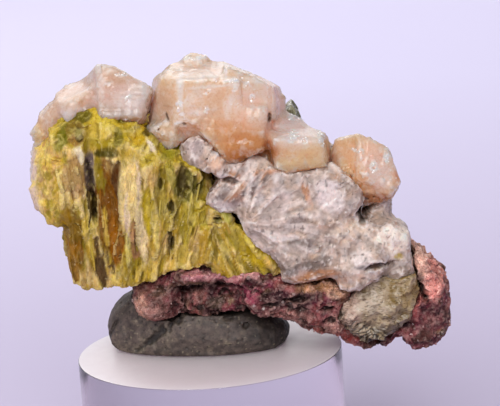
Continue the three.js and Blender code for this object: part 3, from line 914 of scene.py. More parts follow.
def hand_over(piece: Piece, materials: list[Material], slot: str,
              *nodes: str) -> Piece:
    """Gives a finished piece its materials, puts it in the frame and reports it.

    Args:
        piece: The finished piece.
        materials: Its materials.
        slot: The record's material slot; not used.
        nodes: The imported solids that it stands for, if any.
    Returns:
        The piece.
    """
    for material in materials:
        piece.data.materials.append(material)
    if nodes:
        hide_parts(*nodes)
    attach(piece, BODY)
    log.info("%s: %d faces", piece.name, len(piece.data.polygons))
    return piece


# The specimen's parts

@dataclass(kw_only=True)
class DressedSolid:
    """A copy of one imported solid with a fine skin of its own, shaped and coloured.

    The skin has faces as wide as voxel. Grooves narrower than twice closed are filled, and the skin is
    smoothed as many times as smooth says. Edges sharper than the angle sharp are shaded sharp.
    """

    node: str
    name: str
    slot: str
    seed: int
    voxel: float
    closed: float = 0.0
    smooth: int = 0
    sharp: float = 35.0
    floor: float = 0.0

    def build(self, material: Material) -> Piece:
        """Shapes and colours the piece.

        Args:
            material: The piece's material.
        Returns:
            The finished piece.
        """
        piece = copy_of_node(self.node, self.name)
        self.add_lumps(piece)
        self.skin = fine_skin(piece, self.voxel, self.closed, self.smooth)
        self.shape(self.skin)
        self.dress(self.skin)
        self.skin.save(self.sharp, self.floor)
        return hand_over(piece, [material], self.slot, self.node)

    def add_lumps(self, piece: Piece) -> None:
        """Joins more lumps to the copy before it gets its skin, where a piece has any."""

    def shape(self, skin: Surface) -> None:
        """Gives the skin its relief."""

    def dress(self, skin: Surface) -> None:
        """Gives the skin its colours."""


@dataclass(kw_only=True)
class CalciteCrystals(DressedSolid):
    """One group of translucent calcite crystals.

    The growth steps are step apart and up to step_depth high. The white specks of painted glint on
    the skin are as wide as sparkle, and the glints are places where small facets get a painted highlight.
    """

    slot: str = "calcite"
    voxel: float = 0.16
    smooth: int = 1
    sharp: float = 50.0
    base: str
    step: float = 0.75
    step_depth: float = 0.14
    sparkle: float = 0.22
    patches: list[Patch]
    hollows: list[Hollow]
    glints: list[Patch]
    worn: list[Patch]
    rounded: list[Patch] = field(default_factory=list)

    def shape(self, skin: Surface) -> None:
        """Gives the faces soft waves, growth plates, chips and glinting nicks.

        Args:
            skin: The piece's skin.
        """
        edges = smooth_step(skin.ridges(14), 0.04, 0.12)
        low = smooth_step(-skin.normals()[:, 2], 0.0, 0.5)
        rough = rough_noise(skin.points, 1.6, self.seed + 13)
        soft = smooth_step(soft_noise(skin.points, 4.0, self.seed + 12), -0.4, 0.3)
        skin.points = blend(skin.points, skin.smoothed(18), 0.85 * soft)
        for patch in self.rounded:
            skin.points = blend(skin.points, skin.smoothed(45), patch.share_at(skin.points, 0.5 * rough))
        skin.push(0.03 + 0.27 * low)
        for turn, patch in enumerate(self.worn):
            worn = patch.share_at(skin.points, rough, 6.0)
            skin.swell(2.2, 0.25, self.seed + 50 + turn, worn)
            skin.break_up(1.3, 0.6, 0.2, self.seed + 60 + turn, 0.8 * worn)
            skin.break_up(0.6, 0.7, 0.1, self.seed + 70 + turn, 0.8 * worn)
        skin.swell(7.0, 0.14, self.seed)
        skin.swell(2.4, 0.09, self.seed + 1)
        self.cut_steps(skin)
        broken = smooth_step(soft_noise(skin.points, 3.0, self.seed + 2), 0.0, 0.5)
        skin.break_up(1.9, 0.12, 0.08, self.seed + 3, 0.6 * broken)
        skin.break_up(0.85, 0.4, 0.12, self.seed + 4, 0.7 * np.maximum(low, 0.6 * broken))
        chipped = edges * smooth_step(soft_noise(skin.points, 1.8, self.seed + 8), -0.2, 0.3)
        skin.break_up(0.7, 0.5, 0.1, self.seed + 9, 0.8 * chipped)
        skin.swell(0.6, 0.02, self.seed + 10)
        wander = rough_noise(skin.points, 0.9, self.seed + 5)
        self.glint = np.max([patch.share_at(skin.points, wander) for patch in self.glints], axis=0)
        self.nick = skin.break_up(0.42, 0.9, 0.06, self.seed + 6, self.glint)
        self.sunk = skin.bore(self.hollows, self.seed + 7)

    def cut_steps(self, skin: Surface) -> None:
        """Cuts low, straight growth steps across parts of the faces, level and upright.

        Args:
            skin: The piece's skin.
        """
        for turn, way in enumerate(((0.1, 0.1, 1.0), (1.0, 0.25, -0.12))):
            seed = self.seed + 30 + 3 * turn
            along = skin.points @ np.array(way) / self.step + 0.25 * soft_noise(skin.points, 5.0, seed)
            bands = np.floor(along)[:, None] * [1, 0, 0]
            share = smooth_step(soft_noise(skin.points, 3.0, seed + 1), -0.05, 0.25)
            skin.push(self.step_depth * share * (hashed(bands, seed + 2) - 0.6))

    def dress(self, skin: Surface) -> None:
        """Colours the group: cloudy, with painted highlights on upward faces, ridges, edges and glints,
        painted shade in a deeper orange on downward faces and in hollows, and deeper orange in crevices.

        Args:
            skin: The piece's skin.
        """
        points = skin.points
        normals = skin.normals()
        rough = rough_noise(points, 3.2, self.seed + 20)
        fine = rough_noise(points, 0.9, self.seed + 24)
        ridges = skin.ridges(12)
        tint = np.tile(linear(self.base), (len(points), 1))
        tint = tinted(tint, "#fbeee2", 0.45 * smooth_step(rough, 0.0, 0.7))
        tint = tinted(tint, "#e2b88a", 0.35 * smooth_step(rough, -0.1, -0.8))
        # Painted highlight: upward-facing faces are tinted paler.
        tint = tinted(tint, "#f2dccb", 0.3 * smooth_step(normals[:, 2], 0.3, 0.9))
        # Painted shade on downward-facing faces, in the deeper orange that the calcite also has low down.
        under = smooth_step(-normals[:, 2] + 0.3 * rough, 0.15, 0.8)
        tint = tinted(tint, "#eeac68", 0.5 * under)
        veils = np.abs(soft_noise(points + 0.8 * fine[:, None], 2.8, self.seed + 26))
        veil = smooth_step(veils, 0.07, 0.0) * smooth_step(rough, -0.3, 0.3)
        tint = tinted(tint, "#fbf2ea", 0.45 * veil)
        # Painted highlight along the broad ridges of the crystals.
        rim_highlight = smooth_step(skin.ridges(40), 0.05, 0.3) * smooth_step(rough, -0.6, 0.2)
        tint = tinted(tint, "#fff0e6", 0.5 * rim_highlight)
        tint = paint_patches(tint, self.patches, points, 0.5 * rough, 1.0, (1.5, 0.3))
        # Painted highlight along the sharp edges, broken up by noise.
        edges = smooth_step(ridges, 0.03, 0.1) * smooth_step(fine + rough, -0.4, 0.6)
        tint = tinted(tint, "#fdf6f0", 0.35 * edges)
        # Painted glints: rare specks of near white.
        sparkle = hashed(np.floor(points / self.sparkle), self.seed + 40) > 0.975
        tint = tinted(tint, "#fffaf4", 0.7 * sparkle * smooth_step(rough, -0.2, 0.5))
        tint = tinted(tint, "#e8b47c", 0.3 * smooth_step(ridges, -0.08, -0.25))
        # Painted highlight: the glinting facets are tinted near white, and they also get bright gloss.
        bright = self.glint * (self.nick > 0.35)
        tint = tinted(tint, "#fffaf6", 0.8 * bright)
        # Painted shade in the hollows.
        skin.paint(tinted(tint, "#3a2416", 0.8 * self.sunk), bright)


MAIN_CALCITE = CalciteCrystals(
    node="calcite_main_group", name="calcite_centre", base="#f1cfae", seed=100,
    patches=[
        Patch(7.2, 56.6, 4.6, 3.0, "#dd9a58", 0.95),
        Patch(7.4, 54.8, 4.0, 1.2, "#c07228", 0.9),
        Patch(14.2, 60.4, 3.2, 1.6, "#ffd2b0", 0.9),
        Patch(4.6, 59.4, 3.8, 1.0, "#eeb078", 0.55),
        Patch(9.8, 61.8, 3.2, 3.0, "#ffd6c0", 0.95),
        Patch(11.2, 63.9, 1.6, 1.3, "#ffccbe", 0.8),
        Patch(10.9, 55.0, 0.8, 1.8, "#b8702e", 0.9, 0.2),
        Patch(14.3, 57.8, 3.4, 1.9, "#ffdad0", 0.95),
        Patch(14.8, 53.8, 3.6, 1.8, "#ffcc9a", 1.0),
        Patch(14.8, 52.0, 3.4, 0.7, "#ffa868", 0.85),
        # Painted highlight along the upright edge of the front face.
        Patch(-1.2, 65.0, 0.4, 3.2, "#fbf0ea", 0.7, 0.1),
        Patch(-3.8, 61.6, 1.6, 2.6, "#e0bc98", 0.8),
        Patch(2.5, 67.0, 4.2, 0.8, "#f2d8c4", 0.7),
        # Painted highlight: a thin bright line across the front face.
        Patch(2.8, 65.0, 4.4, 0.2, "#fff6f0", 0.6),
        Patch(0.6, 61.6, 1.4, 0.5, "#fbf0e8", 0.6, 0.5),
        Patch(5.4, 62.4, 0.5, 1.6, "#fbf0e8", 0.5, 0.4),
        Patch(-3.2, 58.6, 2.6, 1.2, "#ecc8a4", 0.6),
    ],
    hollows=[
        Hollow(-3.3, 60.9, 0.3, 0.8, 0.6, -0.3),
        Hollow(-1.1, 60.1, 0.25, 0.2, 0.5),
        Hollow(-4.7, 59.4, 0.25, 0.2, 0.5),
        Hollow(10.7, 59.6, 0.35, 0.75, 0.9, 0.2),
    ],
    glints=[
        Patch(-1.5, 62.0, 0.5, 1.3),
        Patch(-1.9, 60.2, 0.6, 0.5),
        Patch(2.2, 61.9, 0.5, 0.7),
        Patch(2.4, 64.3, 0.5, 0.5),
        Patch(5.6, 65.6, 2.2, 0.3),
        Patch(6.2, 64.4, 0.5, 0.4),
        Patch(7.8, 64.6, 0.6, 0.6),
        Patch(8.5, 62.8, 0.4, 0.6),
        Patch(0.8, 67.6, 2.6, 0.25),
        Patch(14.6, 58.6, 1.4, 0.5),
        Patch(13.8, 57.0, 0.8, 0.6),
        Patch(15.4, 56.5, 0.5, 0.5),
        Patch(17.8, 57.0, 0.5, 1.2),
    ],
    worn=[
        Patch(7.2, 54.4, 3.4, 1.3),
        Patch(-3.4, 58.8, 2.8, 1.2),
        Patch(14.8, 51.4, 3.8, 0.8),
    ],
    rounded=[
        Patch(14.8, 57.6, 3.6, 2.4),
        Patch(9.6, 61.4, 4.0, 4.0, strength=0.9),
        Patch(7.2, 56.2, 4.4, 2.8, strength=0.8),
        Patch(14.2, 60.6, 3.4, 1.8, strength=0.9),
    ])

RIGHT_CALCITE = CalciteCrystals(
    node="calcite_right_crystal", name="calcite_right", base="#f0c4a0", seed=200,
    patches=[
        Patch(25.0, 52.4, 2.8, 2.8, "#ffd0bc", 0.95, -0.25),
        Patch(25.8, 50.8, 1.6, 1.6, "#ffdace", 0.8),
        Patch(21.3, 53.5, 1.4, 2.2, "#f4c494", 0.7),
        Patch(21.8, 49.0, 2.0, 3.0, "#ffbe80", 1.0),
        Patch(24.4, 47.2, 3.0, 0.9, "#b87040", 0.85),
        Patch(28.2, 50.5, 0.8, 2.8, "#e29a70", 0.8),
    ],
    hollows=[
        Hollow(24.6, 47.6, 0.35, 0.22, 0.5),
        Hollow(23.6, 47.2, 0.3, 0.2, 0.5),
    ],
    glints=[
        Patch(22.8, 54.4, 0.9, 0.4),
        Patch(24.7, 52.2, 0.5, 0.8),
        Patch(26.7, 53.4, 0.4, 1.2),
    ],
    worn=[
        Patch(21.4, 50.0, 1.6, 2.8),
        Patch(24.8, 46.9, 3.6, 0.9),
    ])

LEFT_CALCITE = CalciteCrystals(
    node="calcite_left_group", name="calcite_left", base="#e0c0ac", seed=300,
    patches=[
        Patch(-8.0, 63.6, 2.6, 1.9, "#f0dfd6", 0.8),
        Patch(-15.6, 64.2, 2.2, 1.6, "#ecc4a8", 0.6),
        Patch(-16.2, 62.0, 2.0, 1.2, "#f2e2da", 0.6),
        Patch(-21.6, 57.6, 1.4, 2.8, "#ecb878", 0.8),
        Patch(-22.2, 58.4, 1.4, 2.0, "#ffd49c", 0.8),
        Patch(-22.2, 52.4, 1.2, 2.8, "#f2c89c", 0.8),
        Patch(-23.0, 55.0, 0.5, 7.0, "#fbe2d6", 0.8),
        Patch(-21.4, 48.0, 1.8, 1.6, "#ead2c0", 0.8),
        Patch(-8.6, 60.4, 3.0, 0.6, "#d89a6c", 0.6),
    ],
    hollows=[
        Hollow(-6.1, 61.0, 0.3, 0.2, 0.5),
        Hollow(-15.6, 60.7, 0.25, 0.2, 0.5),
    ],
    glints=[
        Patch(-8.6, 64.0, 0.6, 0.5),
        Patch(-12.6, 61.8, 0.9, 0.35),
        Patch(-11.3, 66.2, 0.8, 0.4),
        Patch(-9.2, 67.2, 1.2, 0.3),
    ],
    worn=[Patch(-21.4, 54.0, 4.2, 9.0)], closed=0.4)


@dataclass
class CalciteNicks:
    """The tiny frosted nicks that catch the light along the calcite's worn edges.

    The length and the thickness are shares of a nick's width, and the tilt is how far it leans.
    """

    seed: int = 350
    density: float = 0.035
    width: tuple[float, float] = (0.12, 0.42)
    length: tuple[float, float] = (0.4, 1.0)
    thin: float = 0.35
    tilt: float = 0.25

    def build(self, groups: list[CalciteCrystals], material: Material) -> Piece:
        """Scatters the nicks over the glinting places of the calcite.

        Args:
            groups: The calcite groups, already built.
            material: The nicks' material.
        Returns:
            The finished piece.
        """
        rng = np.random.default_rng(self.seed)
        spots, ups = [], []
        for group in groups:
            chosen = rng.random(len(group.glint)) < self.density * group.glint
            spots.append(group.skin.points[chosen])
            ups.append(group.skin.normals()[chosen])
        spots, ups = np.concatenate(spots), np.concatenate(ups)
        count = len(spots)
        width = rng.uniform(*self.width, count)
        sizes = width[:, None] * np.stack([np.ones(count), rng.uniform(*self.length, count),
                                           np.full(count, self.thin)], axis=1)
        axes = turned_axes(ups + rng.normal(0, self.tilt, ups.shape), rng.uniform(0, 2 * math.pi, count))
        tint = np.tile(linear("#fffaf6"), (count, 1))
        piece = Copies("calcite_frosted_nicks", seed_grain(), spots, axes, sizes, tint).build()
        return hand_over(piece, [material], "calcite")


@dataclass(kw_only=True)
class ColumnarMass(DressedSolid):
    """The fan of yellow-green columns, with the small spray beside the quartz.

    The body is broken into blades, splinters and needles of the given widths and lengths, and grooved.
    The numbers that begin with loose are for the splinters that lie on it: their width and length, how
    much of the width is sunk, the heights between which they lie, and how far left they go.
    """

    node: str = "columnar_crystals"
    name: str = "columnar_mass"
    slot: str = "yellow_green_crystal"
    seed: int = 400
    voxel: float = 0.17
    closed: float = 0.8
    sharp: float = 40.0
    blade: float = 2.1
    blade_length: float = 24.0
    splinter: float = 0.8
    splinter_length: float = 5.0
    needle: float = 0.45
    groove: float = 0.7
    splinters: int = 100
    loose_width: tuple[float, float] = (0.22, 0.6)
    loose_length: tuple[float, float] = (1.4, 5.5)
    loose_sunk: float = 0.36
    loose_heights: tuple[float, float] = (38.6, 55.5)
    loose_left: float = -19.0
    foot_down: float = 0.5

    patches: ClassVar[list[Patch]] = [
        Patch(-18.1, 46.2, 1.5, 3.6, "#7a5600", 0.95),
        Patch(-18.1, 41.2, 1.2, 3.2, "#865400", 0.9),
        Patch(-16.8, 54.0, 1.9, 2.4, "#9a7448", 0.85),
        Patch(-16.4, 51.4, 1.2, 0.9, "#b0805c", 0.7),
        Patch(-15.9, 57.2, 0.6, 1.6, "#e9dcc6", 0.95, -0.2),
        Patch(-14.6, 53.8, 0.8, 3.2, "#5c4e56", 0.95),
        Patch(-14.6, 51.4, 0.6, 1.2, "#4a3430", 0.95),
        Patch(-14.5, 48.5, 0.5, 1.7, "#2c1a0c", 0.95),
        Patch(-15.7, 46.0, 0.8, 2.4, "#cdb04a", 0.8),
        Patch(-12.4, 48.4, 1.8, 7.6, "#744200", 1.0),
        Patch(-13.4, 53.4, 0.7, 3.0, "#84700e", 0.9),
        Patch(-10.9, 52.6, 0.85, 2.6, "#4c2404", 0.95),
        Patch(-12.0, 43.4, 0.9, 3.6, "#8c5000", 0.9),
        Patch(-13.2, 45.6, 0.35, 3.6, "#c8a43c", 0.8),
        Patch(-14.4, 43.0, 0.5, 1.7, "#4c3018", 0.95),
        Patch(-14.1, 39.8, 1.2, 2.5, "#48301e", 0.95),
        Patch(-9.1, 49.4, 1.8, 6.0, "#f6d898", 0.8),
        Patch(-8.0, 52.0, 0.3, 4.2, "#f6dcc8", 0.8),
        Patch(-10.0, 47.4, 0.3, 3.4, "#f6dcc8", 0.7),
        Patch(-9.3, 43.8, 0.5, 3.0, "#936448", 0.9),
        Patch(-10.3, 42.4, 0.5, 2.6, "#dccb70", 0.85),
        Patch(-8.0, 45.6, 0.8, 4.6, "#f0d8ac", 0.9),
        Patch(-7.0, 48.2, 0.7, 4.0, "#b49c1e", 0.85),
        Patch(-6.1, 46.0, 0.5, 5.0, "#d8c060", 0.8),
        Patch(-5.2, 50.0, 0.5, 3.4, "#948214", 0.85),
        Patch(-4.4, 47.0, 0.5, 3.0, "#c4ae4c", 0.8),
        Patch(-4.0, 48.3, 0.5, 0.7, "#4a400c", 0.9),
        Patch(-4.5, 42.7, 0.4, 1.8, "#3a240c", 0.95),
        Patch(-1.4, 51.0, 1.9, 2.4, "#55500f", 0.95),
        Patch(-3.4, 53.4, 0.6, 2.2, "#a89c3c", 0.8),
        Patch(-2.0, 45.2, 0.8, 3.6, "#a08c10", 0.85),
        Patch(-0.6, 47.4, 0.7, 2.6, "#c4b040", 0.85),
        Patch(0.6, 45.8, 0.7, 2.4, "#8c7c10", 0.85),
        Patch(0.4, 42.2, 0.8, 2.8, "#a8842c", 0.8),
        Patch(-2.6, 41.0, 1.2, 1.6, "#b89c38", 0.8),
        Patch(1.9, 42.8, 0.4, 2.4, "#705c10", 0.85),
        Patch(2.6, 46.2, 0.8, 0.6, "#3c3410", 0.9),
        Patch(3.9, 46.6, 0.7, 1.4, "#b4b444", 0.9, -0.2),
        Patch(4.6, 43.6, 1.2, 2.2, "#98861c", 0.85),
        Patch(3.2, 41.4, 0.7, 1.6, "#bea44c", 0.85),
        Patch(5.6, 40.6, 0.9, 1.4, "#947c14", 0.85),
        Patch(8.0, 40.8, 2.4, 2.8, "#b69a10", 0.9, -0.35),
        Patch(6.9, 42.4, 0.7, 1.2, "#dcc42c", 0.8, -0.35),
        Patch(9.4, 39.2, 0.6, 1.0, "#d89a2c", 0.8, -0.35),
    ]

    crest_patches: ClassVar[list[Patch]] = [
        Patch(-17.6, 59.8, 1.6, 1.6, "#66600f", 0.9, 0.6),
        Patch(-12.4, 60.6, 2.4, 2.2, "#d2b648", 0.8),
        Patch(-12.6, 58.2, 2.0, 0.9, "#a08a10", 0.8),
        Patch(-7.2, 58.6, 1.8, 1.4, "#c4a018", 0.85),
        Patch(-8.6, 56.8, 1.6, 0.9, "#c8a42c", 0.8),
        Patch(-15.4, 61.8, 1.6, 0.8, "#5a5212", 0.9),
        Patch(-18.6, 58.6, 0.9, 1.8, "#6e6a10", 0.9, 0.5),
        Patch(-9.4, 61.2, 1.4, 0.6, "#5a5012", 0.9),
        Patch(-5.6, 59.0, 1.6, 0.5, "#4a3c14", 0.9, -0.8),
        Patch(-12.0, 61.4, 1.2, 0.9, "#d8c468", 0.6),
        Patch(-16.2, 60.4, 1.4, 1.1, "#80662a", 0.85),
        Patch(-12.2, 56.9, 2.2, 0.8, "#5e500e", 0.8),
        Patch(-5.1, 57.8, 1.2, 1.0, "#a08c2a", 0.8),
        Patch(-20.9, 57.0, 2.4, 3.0, "#dcac7c", 0.9),
        Patch(-21.4, 53.2, 1.4, 2.0, "#cfa878", 0.7),
        Patch(-10.4, 59.0, 0.7, 1.2, "#5e560e", 0.8),
        Patch(-5.9, 57.4, 0.4, 1.3, "#f0e0d0", 0.95, -0.5),
        Patch(-16.2, 59.0, 1.0, 0.8, "#97704a", 0.85),
        Patch(-15.6, 59.6, 0.6, 0.9, "#3a3208", 0.85),
        Patch(-3.4, 56.2, 1.4, 1.2, "#8c8420", 0.8),
        Patch(-12.6, 56.8, 1.6, 0.5, "#4e460c", 0.85),
    ]

    # How far out the left edge is moved at each height, as Z and distance.
    left_edge: ClassVar[list[tuple[float, float]]] = [
        (38.6, 0.0), (41.4, 0.45), (43.3, -0.3), (44.7, -0.5), (45.7, -1.2), (46.6, -0.8), (47.5, 0.2),
        (49.0, 0.4), (51.5, 0.0)]

    # The crest's lumps lie along this line, as X and Z, in rows: Y, how far below the line, and size.
    crest_line: ClassVar[list[tuple[float, float]]] = [
        (-19.6, 58.4), (-18.0, 60.6), (-15.0, 62.5), (-12.8, 62.9), (-10.4, 61.9), (-8.6, 60.2),
        (-5.8, 58.4), (-2.6, 56.0), (0.2, 53.8)]
    crest_rows: ClassVar[list[tuple[float, float, float]]] = [
        (-7.0, 2.4, 3.0), (-5.6, 1.5, 3.2), (-3.8, 1.3, 3.0)]
    crest_step: ClassVar[float] = 0.34

    hollows: ClassVar[list[Hollow]] = [
        Hollow(-14.6, 53.6, 0.7, 3.0, 0.9),
        Hollow(-14.5, 48.7, 0.45, 1.7, 1.2),
        Hollow(-3.7, 48.3, 0.3, 1.2, 0.6),
        Hollow(-4.0, 42.8, 0.3, 1.8, 0.9, 0.15),
        Hollow(-1.9, 51.6, 0.9, 2.4, 0.7),
        Hollow(2.6, 46.2, 0.9, 0.35, 1.0),
        Hollow(-5.0, 52.0, 0.25, 1.4, 0.5, 0.1),
    ]

    def add_lumps(self, piece: Piece) -> None:
        """Fills the front of the crown with lumps, so that it is a mound and not a row of points.

        Args:
            piece: The copy of the solid, which the lumps are joined to.
        """
        rng = np.random.default_rng(self.seed + 1)
        spots, sizes = [], []
        for (x0, z0), (x1, z1) in itertools.pairwise(self.crest_line):
            for part in np.arange(0.0, 1.0, self.crest_step):
                x, z = x0 + (x1 - x0) * part, z0 + (z1 - z0) * part
                for y, drop, size in self.crest_rows:
                    spots.append(np.array([x, y, z - drop]) + rng.uniform(-0.35, 0.35, 3))
                    sizes.append(size * rng.uniform(0.85, 1.2, 3))
        count = len(spots)
        axes = turned_axes(rng.normal(0, 1, (count, 3)), rng.uniform(0, 6, count))
        lumps = Copies("crest_lumps", seed_grain(), np.array(spots), axes, np.array(sizes),
                       np.ones((count, 3))).build()
        select_only(piece)
        lumps.select_set(True)
        bpy.ops.object.join()

    def in_spray(self, points: Array) -> Array:
        """Whether each point belongs to the small spray that leans the other way."""
        return (points[:, 0] > 1.6) & (points[:, 2] < 49.0 - 1.9 * np.abs(points[:, 0] - 3.6))

    def column_places(self, points: Array) -> Array:
        """Each point's place in its own spray, where a column has the same X and Y all along."""
        spray = self.in_spray(points)[:, None]
        return np.where(spray, fan_places(points, SPRAY_FOOT) + [40.0, 0, 0], fan_places(points))

    def shape(self, skin: Surface) -> None:
        """Splits the skin into blades and splinters, and crumbles the crest.

        Args:
            skin: The piece's skin.
        """
        move_join(skin)
        self.spread_foot(skin)
        places = self.column_places(skin.points)
        wave = 0.25 * np.stack([soft_noise(skin.points, 3.0, self.seed + k) for k in (1, 2, 3)], axis=1)
        self.crest = smooth_step(skin.normals()[:, 2], 0.25, 0.7)
        side = 1 - self.crest
        long_blades = (places + wave) / [self.blade, self.blade, self.blade_length]
        skin.break_up(self.blade, 0.16, 0.14, self.seed + 5, 0.8 * side, long_blades)
        short = (places + wave) / [self.splinter, self.splinter, self.splinter_length]
        skin.break_up(self.splinter, 0.16, 0.05, self.seed + 6, 0.55 * side, short)
        pale = np.clip(self.zones(skin.points).mean(axis=1) / 0.3, 0, 1.5)
        skin.push((0.4 * pale - 0.25) * side)
        grooves = rough_noise((places + 0.3 * wave) * [1, 1, 0.07], self.groove, self.seed + 13)
        skin.push(0.09 * grooves * side)
        needles = (places + wave) / [self.needle, self.needle, 4 * self.needle]
        rough_share = 0.5 * side * smooth_step(pale, 0.5, 1.1)
        self.needle_pick = skin.break_up(self.needle, 0.35, 0.03, self.seed + 12, rough_share, needles)
        skin.swell(2.4, 0.25, self.seed + 8, self.crest)
        skin.break_up(1.5, 0.5, 0.24, self.seed + 9, 0.85 * self.crest)
        self.lump_pick = skin.break_up(0.7, 0.5, 0.1, self.seed + 11, 0.7 * self.crest)
        self.sunk = skin.bore(self.hollows, self.seed + 10)

    def spread_foot(self, skin: Surface) -> None:
        """Moves the left edge out or in by height, and the left end of the foot down.

        Args:
            skin: The piece's skin.
        """
        x, z = skin.points[:, 0].copy(), skin.points[:, 2].copy()
        heights, shifts = zip(*self.left_edge)
        skin.points[:, 0] -= np.interp(z, heights, shifts) * smooth_step(x, -15.0, -18.0)
        skin.points[:, 2] -= self.foot_down * smooth_step(z, 40.0, 38.0) * smooth_step(x, -6.0, -10.0)

    def zones(self, points: Array) -> Array:
        """Colours the broad zones, which run along the columns with ragged edges.

        Args:
            points: The points to colour.
        Returns:
            A linear colour for each point.
        """
        places = self.column_places(points)
        streaks = rough_noise(places * [1, 1, 0.22], 0.8, self.seed + 20)
        tint = mottled(places * [1, 1, 0.25],
                       ["#c4a23a", "#98801c", "#dcc06a", "#b4902e", "#e6cc8c", "#847018", "#cfa86c"],
                       1.2, self.seed + 40, 8.0)
        mapped = points.copy()
        mapped[:, 0] += 0.35 * streaks
        mapped[:, 2] += 0.8 * soft_noise(places * [1, 1, 0.1], 0.6, self.seed + 42)
        return paint_patches(tint, self.patches, mapped, 0.5 * streaks, 2.0, (1.15, 0.85))

    def dress(self, skin: Surface) -> None:
        """Colours the columns zone by zone, then grain by grain, and the crest lump by lump.

        Args:
            skin: The piece's skin.
        """
        points = skin.points
        blotches = rough_noise(points, 1.6, self.seed + 24)
        tint = self.zones(points)
        pale = np.clip(tint.mean(axis=1) / 0.3, 0.0, 1.3)
        fine = palette(["#d6c070", "#b4981c", "#86760c", "#e2d08c", "#a8861c"], self.needle_pick)
        tint = blend(tint, fine, 0.2 * pale)
        places = self.column_places(points)
        streak = rough_noise(places * [1, 1, 0.08], 0.45, self.seed + 44)
        grit = rough_noise(points * [1, 1, 0.6], 0.45, self.seed + 28)
        tint = tint * np.clip(1 + 0.5 * streak * np.clip(pale, 0, 0.7) + 0.25 * grit, 0.3, 1.7)[:, None]
        # Painted glints: rare specks are tinted pale, more on pale zones.
        sparkle = (hashed(np.floor(points / 0.18), self.seed + 46) > 0.988).astype(float)
        tint = tinted(tint, "#f0e0b0", (0.2 + 0.3 * np.clip(pale, 0, 1)) * sparkle)
        crest = palette(["#a8942a", "#b49c2e", "#907e1a", "#a08818", "#bca63e", "#7e7014"], self.lump_pick)
        tint = blend(tint, crest, 0.6 * self.crest)
        tint = paint_patches(tint, self.crest_patches, points, 0.8 * blotches, 3.0, (1.15, 0.7))
        facing = skin.normals()[:, 2]
        # Painted highlight: upward-facing ends of the blades, away from the crest, are tinted pale straw.
        ends = smooth_step(facing, 0.15, 0.5) * (1 - self.crest)
        tint = tinted(tint, "#d8c870", 0.35 * ends)
        ridges = skin.ridges(6)
        # Painted shade in the creases between the blades, less on pale zones and on ends.
        crease_shade = smooth_step(ridges, -0.05, -0.18) * (1 - ends) * (1 - 0.5 * np.clip(pale, 0, 1))
        tint = tinted(tint, "#4a380c", 0.5 * crease_shade)
        # Painted highlight on the ridges.
        tint = tinted(tint, "#e6d69a", 0.3 * smooth_step(ridges, 0.04, 0.12))
        skirt = smooth_step(points[:, 0] + 0.5 * blotches, -18.2, -20.2) * smooth_step(points[:, 2], 45, 48)
        speckled = mottled(points, ["#cfae5a", "#a8932c", "#d8b890", "#b08a62", "#8a7a20", "#e0cc90"], 0.7,
                           self.seed + 50, 6.0)
        tint = blend(tint, speckled * (1 + 0.3 * grit)[:, None], 0.85 * skirt)
        fringe = smooth_step(points[:, 0] + 0.5 * blotches, -21.4, -22.6) * skirt
        tint = tinted(tint, "#dcc4b4", 0.8 * fringe)
        warm = np.clip(0.6 * self.crest + 0.5 * skirt * (1 - fringe), 0, 0.6)
        tint = tint * (1 - warm[:, None] * [0.0, 0.05, 0.8])
        # Painted shade in the hollows.
        self.tint = tinted(tint, "#33220a", 0.75 * self.sunk)
        skin.paint(self.tint)

    def build_splinters(self, material: Material) -> Piece:
        """Lays loose splinters along the columns, half sunk in the body.

        Args:
            material: The columns' material.
        Returns:
            The finished piece.
        """
        rng = np.random.default_rng(self.seed)
        normals = self.skin.normals()
        points = self.skin.points
        front = (normals[:, 1] < 0.2) & (normals[:, 2] < 0.5) & (self.sunk < 0.1)
        chosen = rng.choice(np.flatnonzero(front), self.splinters, replace=False)
        count = len(chosen)
        foot = np.where(self.in_spray(points[chosen])[:, None], SPRAY_FOOT, FAN_FOOT)
        along = points[chosen] - foot
        along /= np.linalg.norm(along, axis=1)[:, None]
        along += rng.normal(0, 0.03, along.shape)
        width = rng.uniform(*self.loose_width, count)
        sizes = np.stack([width, width * rng.uniform(0.6, 1.1, count),
                          rng.uniform(*self.loose_length, count)], axis=1)
        axes = turned_axes(along, rng.uniform(0, 2 * math.pi, count))
        spots = points[chosen] - normals[chosen] * (self.loose_sunk * width)[:, None]
        ends = 0.5 * sizes[:, 2:] * axes[:, 2]
        low, high = (np.array(corner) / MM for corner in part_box(self.node))
        bottom, top = self.loose_heights
        held = np.all((spots + ends < high) & (spots - ends > low), axis=1)
        held &= ((spots - ends)[:, 2] > bottom) & ((spots + ends)[:, 2] < top)
        held &= spots[:, 0] > self.loose_left
        chosen, spots, axes, sizes = chosen[held], spots[held], axes[held], sizes[held]
        tint = self.tint[chosen] * rng.uniform(0.85, 1.25, (len(chosen), 1))
        piece = Copies("columnar_splinters", seed_prism(), spots, axes, sizes, tint).build()
        return hand_over(piece, [material], self.slot)


